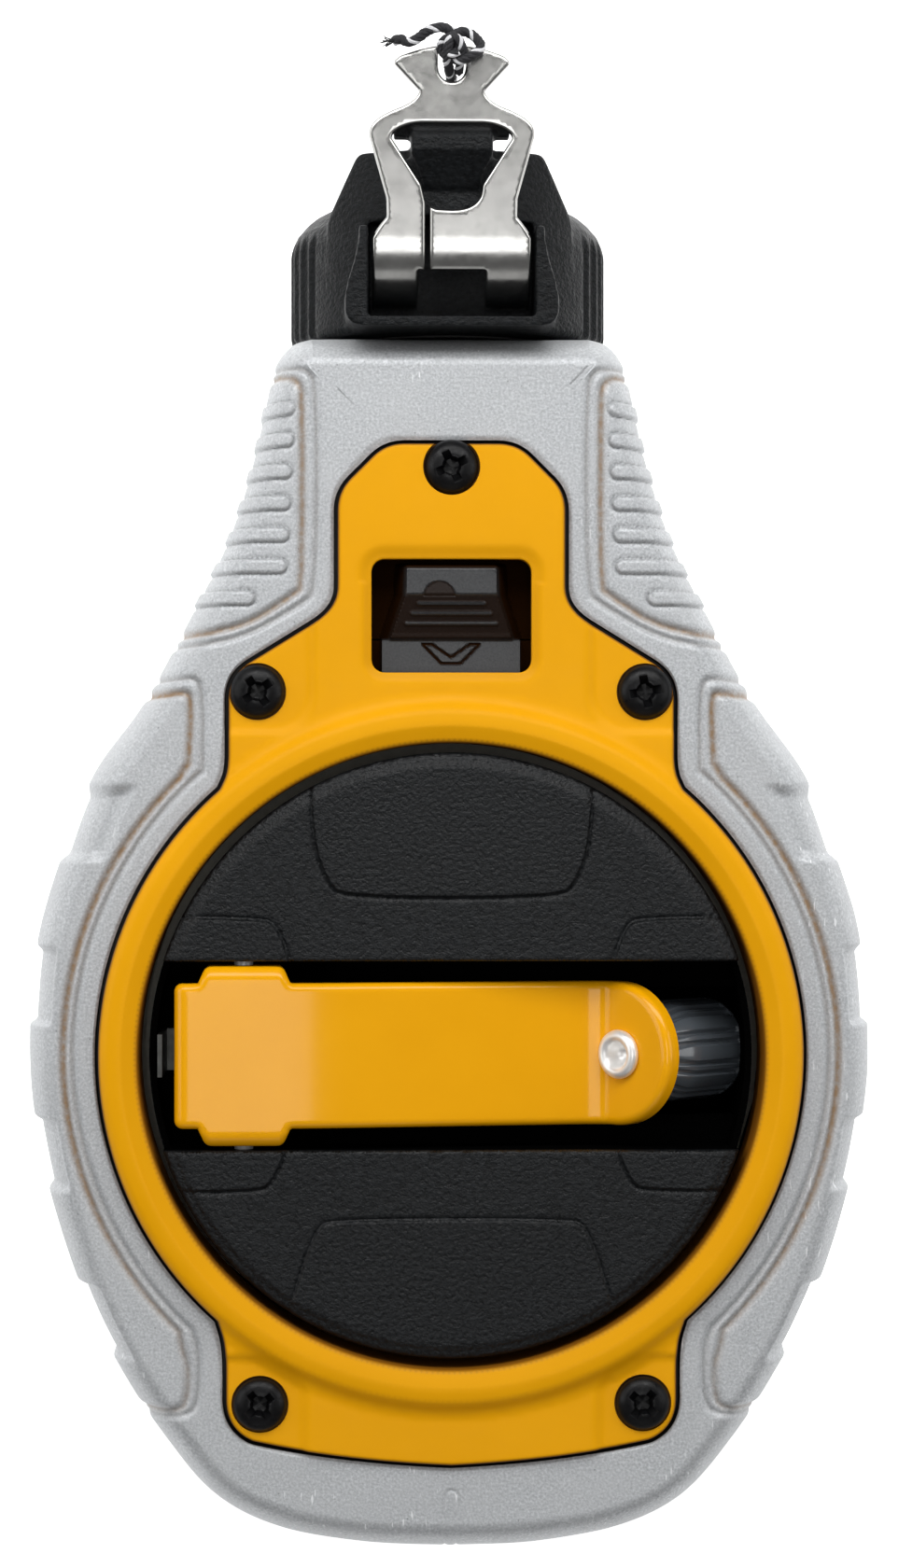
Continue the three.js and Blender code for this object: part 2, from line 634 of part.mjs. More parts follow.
function crankKnob() {
  const steps = KNOB_FLUTES * 4;
  const fluted = Array.from({ length: steps }, (_, i) => {
    const angle = (2 * Math.PI * i) / steps;
    const r = KNOB_R - 0.55 * (i % 4 === 2 ? 1 : i % 2 ? 0.5 : 0);
    return new THREE.Vector2(r * Math.cos(angle), r * Math.sin(angle));
  });
  const top = -ARM_SHEET - GAP;
  const end = -ARM_SHEET - KNOB_LENGTH;
  const cone = turned([
    [0, top - KNOB_CONE], [KNOB_R - 0.2, top - KNOB_CONE], [KNOB_R - 0.3, top - KNOB_CONE + 1],
    [4.4, top], [0, top],
  ], 24);
  return onKnobAxis(cut(
    joined(plate(fluted, end, top - KNOB_CONE + 0.1), cone),
    rod(0, 0, 2.2, -30, 5),
    rod(0, 0, 4.2, end - 1, end + 2.2, 20),
  ));
}

// ---------------------------------------------------------------- crank lock slider
function lockSlider() {
  const thumbLow = WINDOW.low + SLIDER_TRAVEL + 0.4;
  const thumb = [[thumbLow - 0.5, 49.5], [64.6, 49.5], [64, 52.8], [60.4, 52.8], [thumbLow, 50.6]];
  return joined(
    block(-11.5, 11.5, 49.2, 66.9, 46.4, 49.9),
    acrossX(thumb, -6.6, 6.6),
    block(-1.6, 1.6, 43.2, 49.5, 46.6, 49.4),
  );
}

// ---------------------------------------------------------------- nose cap
const RIBS_PER_SIDE = 8;

// The cap's round outline, in its own x and z, with upright grip ribs on its two sides.
function capRingOutline() {
  const ribStep = THREE.MathUtils.degToRad(8);
  const outline = [];
  for (const side of [0, Math.PI]) {
    const first = side - (RIBS_PER_SIDE * ribStep) / 2;
    for (let i = 0; i < RIBS_PER_SIDE; i += 1) {
      for (const [part, r] of [[0.1, CAP_R - 0.5], [0.3, CAP_R], [0.7, CAP_R], [0.9, CAP_R - 0.5]]) {
        const angle = first + (i + part) * ribStep;
        outline.push(new THREE.Vector2(r * Math.cos(angle), r * Math.sin(angle)));
      }
    }
    for (let angle = side + 0.7; angle < side + Math.PI - 0.65; angle += Math.PI / 14) {
      outline.push(new THREE.Vector2(CAP_R * Math.cos(angle), CAP_R * Math.sin(angle)));
    }
  }
  return outline;
}

// Turns a plate made in x and z about the cap's axis so that it stands along Y.
function standOnNeck(manifold) {
  return manifold.rotate([-90, 0, 0]).translate([0, 0, CAP_AXIS_Z]);
}

function noseBlock() {
  const front = mirrored(points([[0, 104], [16.4, 104], [16.4, 110.6], [12.6, NOSE_TIP_Y - 0.9],
    [11.3, NOSE_TIP_Y], [0, NOSE_TIP_Y]]));
  const side = [[104, 8.6], [110.6, 10.4], [NOSE_TIP_Y, 17], [NOSE_TIP_Y, 50], [104, 50]];
  return plate(front, 0, 60).intersect(acrossX(side, -20, 20));
}

function noseCap() {
  const ring = standOnNeck(plate(capRingOutline(), CAP_BACK_Y, 107.2));
  const shoulder = capTurned([[0, 107], [CAP_R - 0.2, 107], [CAP_R - 0.9, 109.9], [CAP_R - 2.7, 112.4],
    [16, 114], [0, 114]]);
  const holder = plate(mirrored(points([[0, CAP_BACK_Y], [13.4, CAP_BACK_Y], [13.9, CAP_BACK_Y + 0.5],
    [13.9, 99], [11.9, 105.4], [11.9, 108.5], [0, 108.5]])), 40, 55.5);
  const catchTongue = joined(
    plate(mirrored(points([[0, 115.5], [4.2, 115.5], [5.3, 118], [5.3, 120.5], [0, 120.5]])), 49, 56.3),
    block(-5.3, 5.3, 118, 121.7, 49, 53.6),
    block(-7.6, 7.6, 120.3, 121.7, 50.6, 53.6),
  );
  const entry = block(-15, 15, 90, 100, CAP_AXIS_Z - 4.8, CAP_AXIS_Z + 4.8)
    .translate([0, 0, -CAP_AXIS_Z])
    .rotate([0, THREE.MathUtils.radToDeg(-CAP_TWIST), 0])
    .translate([0, 0, CAP_AXIS_Z]);
  return cut(
    joined(ring, shoulder, noseBlock(), holder, catchTongue),
    block(-10.9, 10.9, 96.6, 110, 45.4, 60),
    capRod(15.4, 90, 97.4),
    capRod(SPIGOT_R + 0.5, 90, 104.2),
    capRod(15, 98.8, 102.2),
    entry.intersect(capRod(15, 90, 100)),
    capRod(7.3, 103, 113, 24),
    capRod(2.5, 112, 130, 16),
  );
}

function feltWiper() {
  return cut(capRod(6.9, 104.5, 112.7, 24), capRod(1.1, 100, 120, 10));
}

function lineEyelet() {
  return capTurned([[1.1, 113.2], [2.1, 113.2], [2.1, NOSE_TIP_Y + GAP], [3.6, NOSE_TIP_Y + GAP],
    [3.4, NOSE_TIP_Y + 1.1], [1.3, NOSE_TIP_Y + 1.1]], 16);
}

// ---------------------------------------------------------------- hook
const CURL_R = 8.7;
const CURL_START_Y = 107;

function hookOutline() {
  const right = new THREE.Path();
  right.moveTo(0, CURL_START_Y - 0.1);
  right.lineTo(10.4, CURL_START_Y - 0.1);
  right.quadraticCurveTo(9.6, 108.4, 8.5, 109.6);
  right.lineTo(8.6, 112);
  right.lineTo(10.9, 120.6);
  right.quadraticCurveTo(10.6, 122.6, 7.6, 123.6);
  right.quadraticCurveTo(4.6, 124.6, 4.3, 126);
  right.lineTo(7.7, 129.8);
  right.lineTo(6.8, 130.6);
  right.quadraticCurveTo(3.5, 131.9, 0, 132.1);
  const shape = new THREE.Shape(mirrored(right.getPoints(4)));
  const window = new THREE.Path();
  window.moveTo(-7.95, 120.1);
  window.quadraticCurveTo(0, 123, 7.95, 120.1);
  window.lineTo(4, 113.8);
  window.quadraticCurveTo(3.9, 110.5, 0, 110.5);
  window.quadraticCurveTo(-3.9, 110.5, -4, 113.8);
  shape.holes.push(window);
  return shape;
}

function lineHook() {
  const front = HOOK_BACK_Z + HOOK_SHEET;
  const centreZ = front - CURL_R;
  const arc = (r) => Array.from({ length: 9 }, (_, i) => {
    const angle = Math.PI / 2 + (Math.PI / 2) * (i / 8);
    return [CURL_START_Y + r * Math.cos(angle), centreZ + r * Math.sin(angle)];
  });
  const outer = arc(CURL_R);
  const inner = arc(CURL_R - HOOK_SHEET).reverse();
  const flat = new THREE.ExtrudeGeometry(hookOutline(), {
    depth: HOOK_SHEET, bevelEnabled: false, curveSegments: 5,
  });
  flat.translate(0, 0, HOOK_BACK_Z);
  return cut(
    joined(solid(flat), acrossX([...outer, ...inner], -10.4, 10.4)),
    block(-4.4, 4.4, 95, 102.7, 40, 60),
    block(-3.5, -2.9, 101, 112, 40, 60),
    block(-1.75, 1.75, 128.4, 135, 40, 60),
    rod(0, 128.9, 1.75, 40, 60, 12),
  );
}

// ---------------------------------------------------------------- line
// The line leaves the winding on its tangent and runs up the neck to the cap's axis.
const LINE_INNER_ROUTE = [
  [38.4, 16.9, 11.6], [28.8, 38.7, 15.8], [19.2, 60.4, 20.1], [9.6, 82.2, 24.3], [2.2, 99, 28],
  [0, 104.1, 28.5],
];

// From the wiper, out of the eyelet and up behind the hook to its slot.
const LINE_OUTER_ROUTE = [
  [0, 104.6, 28.5], [0, 112, 28.5], [0, 119, 28.5], [0, 124.4, 28.9], [0, 127.4, 31.5],
  [0, 128.3, 37], [0, 128.4, 45], [0, 128.3, 52.5],
];

const LINE_TAIL_ROUTE = [
  [-1.9, 131.9, 57.4], [-4, 133, 57.2], [-6.2, 133.2, 56.4], [-8, 132.8, 56.6],
];

function lineKnot() {
  const knot = new THREE.IcosahedronGeometry(1, 1);
  knot.scale(1.7, 3.0, 1.4);
  knot.translate(0.2, 131.2, 57);
  return solid(knot);
}

// ---------------------------------------------------------------- assembly
const group = new THREE.Group();

function add(name, manifold, material) {
  const mesh = new THREE.Mesh(geometryOf(manifold), material);
  mesh.name = name;
  group.add(mesh);
}

add('case_shell', caseShell(), MATERIALS.castSilver);
add('front_cover', frontCover(), MATERIALS.yellow);
COVER_SCREWS.forEach(([x, y], i) => {
  const headZ = COVER_TOP_Z - 1.6 + GAP;
  add(`cover_screw_${i + 1}`, panScrew(x, y, headZ, 3.6, 2.3, 1.5, 11), MATERIALS.screwBlack);
});

add('bearing_plate', bearingPlate(), MATERIALS.nylon);
PLATE_SCREWS.forEach(([x, y], i) => {
  const headZ = PLATE_TOP_Z + GAP;
  add(`plate_screw_${i + 1}`, panScrew(x, y, headZ, 2.5, 1.8, 1.1, 10, 10), MATERIALS.steel);
});
add('spool_axle', spoolAxle(), MATERIALS.steel);
planetPlaces().forEach(([x, y], i) => {
  add(`planet_pin_${i + 1}`, rod(x, y, 1.9, PLATE_Z + 0.1, 26.9, 12), MATERIALS.steel);
});
add('gear_seal_ring', gearSealRing(), MATERIALS.felt);
add('neck_seal', neckSeal(), MATERIALS.rubber);
add('slider_guide', sliderGuide(), MATERIALS.black);
add('slider_detent_spring', sliderDetentSpring(), MATERIALS.steel);
add('line_inner_run', tube(LINE_INNER_ROUTE, LINE_R, 28), MATERIALS.cord);

add('crank_disc', crankDisc(), MATERIALS.black);
add('crank_tray', crankTray(), MATERIALS.black);
add('crank_skirt', crankSkirt(), MATERIALS.black);
add('crank_ring_gear', crankRingGear(), MATERIALS.nylon);
gearScrewPlaces().forEach(([x, y], i) => {
  const screw = panScrew(0, 0, 0, 2.4, 1.6, 1, 9, 10).rotate([180, 0, 0]);
  add(`gear_screw_${i + 1}`, screw.translate([x, y, 27]), MATERIALS.steel);
});
add('crank_washer', cut(rod(0, 0, 5.5, 44.3, 45), rod(0, 0, 1.8, 40, 50, 12)), MATERIALS.steel);
add('crank_screw', panScrew(0, 0, 45.3, 3.6, 1.9, 1.4, 11), MATERIALS.screwBlack);
add('arm_hinge_pin', pinAcross(1.25, 14.1), MATERIALS.steel);
add('arm_detent_spring', armDetentSpring(), MATERIALS.steel);

add('crank_arm', crankArm(), MATERIALS.yellowPaint);
add('knob_rivet', knobRivet(), MATERIALS.steel);
add('crank_knob', crankKnob(), MATERIALS.glossBlack);
add('lock_slider', lockSlider(), MATERIALS.darkGrey);

add('line_spool', lineSpool(), MATERIALS.darkGrey);
add('sun_pinion', sunPinion(), MATERIALS.steel);
add('line_winding', lineWinding(), MATERIALS.cord);
PLANET_ANGLES.forEach((angle, i) => {
  add(`planet_gear_${i + 1}`, planetGear(angle), MATERIALS.nylon);
});

add('nose_cap', noseCap(), MATERIALS.black);
add('felt_wiper', feltWiper(), MATERIALS.felt);
add('line_eyelet', lineEyelet(), MATERIALS.steel);
add('line_outer_run', tube(LINE_OUTER_ROUTE, LINE_R, 24), MATERIALS.cord);
add('line_hook', lineHook(), MATERIALS.steel);
add('line_knot', lineKnot(), MATERIALS.cord);
add('line_tail', tube(LINE_TAIL_ROUTE, LINE_R, 6), MATERIALS.cord);

export default group;
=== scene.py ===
# Chalk line reel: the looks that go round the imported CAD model.
# x runs across the reel, y from its foot to its nose, and z from its back to its front.
# Lengths are millimetres, and become metres where a mesh is made.

import json
import math

import bmesh
import bpy
import numpy as np
from mathutils import Matrix, Vector
from mathutils.geometry import delaunay_2d_cdt


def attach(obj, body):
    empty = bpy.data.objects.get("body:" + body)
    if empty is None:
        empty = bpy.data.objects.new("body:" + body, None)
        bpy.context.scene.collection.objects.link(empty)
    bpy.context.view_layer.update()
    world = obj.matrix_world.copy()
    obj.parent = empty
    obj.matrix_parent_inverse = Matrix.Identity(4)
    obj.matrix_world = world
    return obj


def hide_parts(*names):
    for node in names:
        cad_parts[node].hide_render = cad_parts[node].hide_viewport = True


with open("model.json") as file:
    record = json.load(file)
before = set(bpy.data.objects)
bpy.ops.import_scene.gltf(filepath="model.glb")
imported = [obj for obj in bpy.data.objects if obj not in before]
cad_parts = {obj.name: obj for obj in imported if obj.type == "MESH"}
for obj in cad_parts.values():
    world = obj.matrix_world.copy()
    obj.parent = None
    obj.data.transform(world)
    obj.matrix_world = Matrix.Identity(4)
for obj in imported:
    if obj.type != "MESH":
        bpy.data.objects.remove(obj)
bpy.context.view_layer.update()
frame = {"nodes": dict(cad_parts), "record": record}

MM = 0.001

# ---------------------------------------------------------------- driving dimensions
CASE_FACE_Z = 52.0
CASE_EDGE_DEPTH = 11.0
CASE_EDGE_INSET = 4.5
CASE_WALL = 3.0
NECK_TOP_Y = 95.0
COVER_BACK_Z = 50.3
COVER_TOP_Z = 53.2
COVER_FIT = 0.55
COVER_SCREWS = [(0, 77.2), (25.4, 47.7), (-25.4, 47.7), (25.1, -45.6), (-25.1, -45.6)]
SCREW_SEAT_Z = 51.9
RING_R = 46.2
OPENING_R = 41.0
WINDOW_HALF, WINDOW_LOW, WINDOW_HIGH, WINDOW_CORNER = 10.5, 50.2, 65.1, 1.7
DISC_R = 39.75
DISC_TOP_Z = 53.6
SLOT_HALF = 12.4
SLOT_FLOOR_Z = 44.0
LOCK_NOTCHES = 24
NOTCHES_IN_SLOT = (5, 6, 7, 17, 18, 19)
HINGE = (-27.3, 49.5)
CAP_AXIS_Z = 28.5
CAP_R = 21.5
NOSE_TIP_Y = 119.3
HOOK_FRONT_Z = 55.2
HOOK_SHEET = 1.2
DEEP = 2.2  # the shade of what nobody sees, past which the paint stops


# ---------------------------------------------------------------- curves and distances
def smooth_step(low, high, x):
    """Eases from 0 at low to 1 at high. It falls instead where low is the higher."""
    t = np.clip((x - low) / (high - low), 0, 1)
    return t * t * (3 - 2 * t)


def spline(points, per_span=12):
    """A Catmull-Rom curve through the points."""
    p = np.asarray(points, float)
    p = np.vstack([p[:1], p, p[-1:]])
    t = np.linspace(0, 1, per_span, endpoint=False)[:, None]
    spans = [
        0.5 * (2 * b + (c - a) * t + (2 * a - 5 * b + 4 * c - d) * t**2 + (3 * b - a - 3 * c + d) * t**3)
        for a, b, c, d in zip(p, p[1:], p[2:], p[3:])
    ]
    return np.vstack([*spans, p[-1:]])


def along(line):
    """How far along the line each of its points is."""
    return np.r_[0, np.cumsum(np.linalg.norm(np.diff(line, axis=0), axis=1))]


def taken_at(line, places):
    """The points of the line at the given lengths along it."""
    lengths = along(line)
    return np.stack([np.interp(places, lengths, line[:, i]) for i in range(line.shape[1])], axis=1)


def spaced(line, step):
    """The same line with its points an equal step apart."""
    line = np.asarray(line, float)
    total = along(line)[-1]
    return taken_at(line, np.linspace(0, total, max(2, round(total / step) + 1)))


def rounded(line, rounds=3, closed=False):
    """Cuts the corners of a line again and again, which rounds them."""
    line = np.asarray(line, float)
    for _ in range(rounds):
        after = np.roll(line, -1, axis=0) if closed else line[1:]
        before = line if closed else line[:-1]
        pairs = np.stack([0.75 * before + 0.25 * after, 0.25 * before + 0.75 * after], axis=1)
        cut = pairs.reshape(-1, line.shape[1])
        line = cut if closed else np.vstack([line[:1], cut, line[-1:]])
    return line


def eased(start, control, end, count=14):
    """A quadratic curve that leaves and arrives towards the control point."""
    t = np.linspace(0, 1, count)[:, None]
    return (1 - t) ** 2 * np.array(start) + 2 * t * (1 - t) * np.array(control) + t**2 * np.array(end)


def arc(centre, radius, start, end, count):
    """Points of an arc between two angles in degrees, its ends among them."""
    a = np.radians(np.linspace(start, end, count))
    return np.stack([centre[0] + radius * np.cos(a), centre[1] + radius * np.sin(a)], axis=1)


def mirrored(right):
    """A closed loop from its right-hand side, which runs up from x = 0 to x = 0."""
    right = np.asarray(right, float)
    return np.vstack([right, right[1:-1][::-1] * (-1, 1)])


def widened(loop, distance):
    """A closed anticlockwise loop moved outwards."""
    t = np.roll(loop, -1, axis=0) - np.roll(loop, 1, axis=0)
    out = np.stack([t[:, 1], -t[:, 0]], axis=1)
    return loop + distance * out / np.linalg.norm(out, axis=1)[:, None]


def distance_to(points, line, closed=False):
    """Each point's distance from a polyline."""
    line = np.asarray(line, float)
    ends = np.roll(line, -1, axis=0) if closed else line[1:]
    best = np.full(len(points), np.inf)
    for start, end in zip(line, ends):
        d = end - start
        t = np.clip(((points - start) @ d) / max(d @ d, 1e-12), 0, 1)
        best = np.minimum(best, np.linalg.norm(points - start - t[:, None] * d, axis=1))
    return best


def inside(points, loop):
    """Which of the points a closed loop goes round."""
    x, y = points.T
    within = np.zeros(len(points), bool)
    for (x0, y0), (x1, y1) in zip(loop, np.roll(loop, -1, axis=0)):
        if y0 != y1:
            crosses = (y0 > y) != (y1 > y)
            within ^= crosses & (x < (x1 - x0) * (y - y0) / (y1 - y0) + x0)
    return within


def signed_distance(points, loop):
    """The distance from a closed loop, below zero inside it."""
    return np.where(inside(points, loop), -1, 1) * distance_to(points, loop, closed=True)


def ring_of(radius, count, start=0.0):
    """A full circle about the crank's axis."""
    return arc((0, 0), radius, start, 360 + start, count + 1)[:-1]


def folded_across(p):
    """The points with their left-hand half laid over the right-hand one."""
    return np.stack([np.abs(p[:, 0]), p[:, 1]], axis=1)


def rectangle(x0, x1, y0, y1, radius, step=0.3):
    """A rounded rectangle, anticlockwise."""
    corners = [(x1 - radius, y0 + radius, -90), (x1 - radius, y1 - radius, 0),
               (x0 + radius, y1 - radius, 90), (x0 + radius, y0 + radius, 180)]
    loop = np.vstack([arc((x, y), radius, a, a + 90, 8) for x, y, a in corners])
    return spaced(np.vstack([loop, loop[:1]]), step)[:-1]


def lattice(x0, x1, y0, y1, step):
    """Points in staggered rows."""
    rows = np.arange(y0, y1, step * 0.866)
    across = np.arange(x0, x1, step)
    return np.vstack([np.stack([across + (i % 2) * step / 2, np.full_like(across, y)], axis=1)
                      for i, y in enumerate(rows)])


def bump_at(x, middle, width):
    """A bell curve of height 1."""
    return np.exp(-(((x - middle) / width) ** 2))


def round_off(distance, radius):
    """How far a rounded edge lies below its face at a distance from the edge."""
    return radius - np.sqrt(np.maximum(radius**2 - np.clip(radius - distance, 0, radius) ** 2, 0))


# ---------------------------------------------------------------- meshes
def band(rows, columns, wrap_rows=False, wrap_columns=True):
    """The four-sided faces of a grid of vertices."""
    i = np.arange(rows if wrap_rows else rows - 1)[:, None]
    j = np.arange(columns if wrap_columns else columns - 1)[None, :]
    below, right = (i + 1) % rows, (j + 1) % columns
    quads = np.stack([i * columns + j, i * columns + right, below * columns + right, below * columns + j], -1)
    return quads.reshape(-1, 4).tolist()


def filled(loops, extra=()):
    """Triangles that fill the first loop, around the holes that the other loops are."""
    points = np.vstack([*loops, extra]) if len(extra) else np.vstack(loops)
    edges, start = [], 0
    for loop in loops:
        count = len(loop)
        edges += [(start + i, start + (i + 1) % count) for i in range(count)]
        start += count
    found, _, faces, origins, _, _ = delaunay_2d_cdt([Vector(p) for p in points], edges, [], 1, 1e-6)
    place = {source: new for new, sources in enumerate(origins) for source in sources}
    found = np.array([tuple(v) for v in found])
    faces = np.array([list(f) for f in faces])
    middles = found[faces].mean(axis=1)
    kept = inside(middles, loops[0])
    for hole in loops[1:]:
        kept &= ~inside(middles, hole)
    return found, faces[kept].tolist(), place


def plate_mesh(loops, extra, top, bottom, extra_below=()):
    """A closed plate between two height functions. The loops bound it."""
    upper, upper_faces, upper_place = filled(loops, extra)
    lower, lower_faces, lower_place = filled(loops, extra_below)
    vertices = np.vstack([np.c_[upper, top(upper)], np.c_[lower, bottom(lower)]])
    shift = len(upper)
    faces = upper_faces + [[v + shift for v in reversed(f)] for f in lower_faces]
    start = 0
    for loop in loops:
        ids = range(start, start + len(loop))
        for a, b in zip(ids, [*ids[1:], ids[0]]):
            faces.append([upper_place[b], upper_place[a], shift + lower_place[a], shift + lower_place[b]])
        start += len(loop)
    return vertices, faces


def turned_mesh(profile, segments=96):
    """A body turned about Z from [radius, height] pairs. It closes on the axis or on itself."""
    profile = np.asarray(profile, float)
    a = np.linspace(0, 2 * math.pi, segments, endpoint=False)
    r, z = profile[:, 0][:, None], profile[:, 1][:, None]
    grid = np.stack([r * np.cos(a), r * np.sin(a), z + 0 * a], axis=-1).reshape(-1, 3)
    return grid, band(len(profile), segments, wrap_rows=profile[0, 0] > 0)


def rod(radius, low, high, segments):
    """A cylinder about Z."""
    return turned_mesh([(0, low), (radius, low), (radius, high), (0, high)], segments)


def flat_at(z):
    """A height function that is the same everywhere."""
    return lambda p: np.full(len(p), z)


def box_mesh(x0, x1, y0, y1, z0, z1):
    corners = [(x, y, z) for z in (z0, z1) for y in (y0, y1) for x in (x0, x1)]
    return corners, [(0, 2, 3, 1), (4, 5, 7, 6), (0, 1, 5, 4), (2, 6, 7, 3), (0, 4, 6, 2), (1, 3, 7, 5)]


def frames_along(route):
    """Two directions across a route of 3-D points at each point, without twist."""
    forward = np.gradient(route, axis=0)
    forward /= np.linalg.norm(forward, axis=1)[:, None]
    side = np.cross(forward[0], (0.13, 0.21, 0.97))
    sides = []
    for f in forward:
        side = side - (side @ f) * f
        side = side / np.linalg.norm(side)
        sides.append(side)
    sides = np.array(sides)
    return sides, np.cross(forward, sides)


def tube_mesh(route, radius, sides):
    """A closed tube along a route of 3-D points."""
    a = np.linspace(0, 2 * math.pi, sides, endpoint=False)[:, None]
    rings = [point + radius * (np.cos(a) * side + np.sin(a) * other)
             for point, side, other in zip(route, *frames_along(route))]
    faces = band(len(route), sides)
    last = (len(route) - 1) * sides
    return np.vstack(rings), faces + [list(range(sides))[::-1], [last + i for i in range(sides)]]


def several(meshes):
    """Several meshes as one."""
    vertices, faces, shift = [], [], 0
    for v, f in meshes:
        vertices.append(np.asarray(v, float))
        faces += [[i + shift for i in face] for face in f]
        shift += len(v)
    return np.vstack(vertices), faces


def raw_object(name, mesh_data):
    """An object from vertices in millimetres and faces, welded and with its faces turned outwards."""
    vertices, faces = mesh_data
    mesh = bpy.data.meshes.new(name)
    mesh.from_pydata((np.asarray(vertices, float) * MM).tolist(), [], faces)
    bm = bmesh.new()
    bm.from_mesh(mesh)
    bmesh.ops.remove_doubles(bm, verts=bm.verts, dist=1e-7)
    bmesh.ops.recalc_face_normals(bm, faces=bm.faces)
    if bm.calc_volume(signed=True) < 0:
        bmesh.ops.reverse_faces(bm, faces=bm.faces)
    bm.to_mesh(mesh)
    bm.free()
    obj = bpy.data.objects.new(name, mesh)
    bpy.context.scene.collection.objects.link(obj)
    return obj


def settle(obj):
    """Makes an object's modifiers final."""
    bpy.context.view_layer.update()
    mesh = bpy.data.meshes.new_from_object(obj.evaluated_get(bpy.context.evaluated_depsgraph_get()))
    obj.modifiers.clear()
    obj.data = mesh
    return obj


def data_of(obj):
    """An object's mesh as plain data. The object goes."""
    mesh = obj.data
    found = ([tuple(v.co / MM) for v in mesh.vertices], [list(f.vertices) for f in mesh.polygons])
    bpy.data.objects.remove(obj)
    return found


def combine(obj, operation, *mesh_data):
    """Adds closed meshes to an object, cuts them out of it, or keeps what they share."""
    tools = []
    for data in mesh_data:
        tool = raw_object("tool", data)
        modifier = obj.modifiers.new("combine", "BOOLEAN")
        modifier.operation = operation
        modifier.solver = "MANIFOLD"
        modifier.object = tool
        tools.append(tool)
    settle(obj)
    for tool in tools:
        bpy.data.objects.remove(tool)
    return obj


def shared(first, *others):
    """What closed meshes have in common, as plain data."""
    return data_of(combine(raw_object("shared", first), "INTERSECT", *others))


def edges_rounded(obj, width, segments=2, angle=32):
    """Bevels the edges sharper than an angle."""
    modifier = obj.modifiers.new("edges", "BEVEL")
    modifier.width = width * MM
    modifier.segments = segments
    modifier.limit_method = "ANGLE"
    modifier.angle_limit = math.radians(angle)
    return settle(obj)


def painted(obj, name, values):
    """Stores one number on each vertex for a finish to read."""
    layer = obj.data.attributes.new(name, "FLOAT", "POINT")
    layer.data.foreach_set("value", np.clip(values, 0, DEEP).astype(np.float32))


def places_of(obj):
    """The places of an object's vertices, in millimetres."""
    return np.array([tuple(v.co / MM) for v in obj.data.vertices])


def finished(obj, finish, body, nodes=(), smooth=38):
    """Gives a piece its material, its body and the CAD nodes it stands for."""
    obj.data.materials.clear()
    obj.data.materials.append(FINISHES[finish])
    obj.data.polygons.foreach_set("use_smooth", [True] * len(obj.data.polygons))
    obj.data.set_sharp_from_angle(angle=math.radians(smooth))
    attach(obj, body)
    if nodes:
        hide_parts(*nodes)
    return obj


# ---------------------------------------------------------------- materials
FINISHES = {}


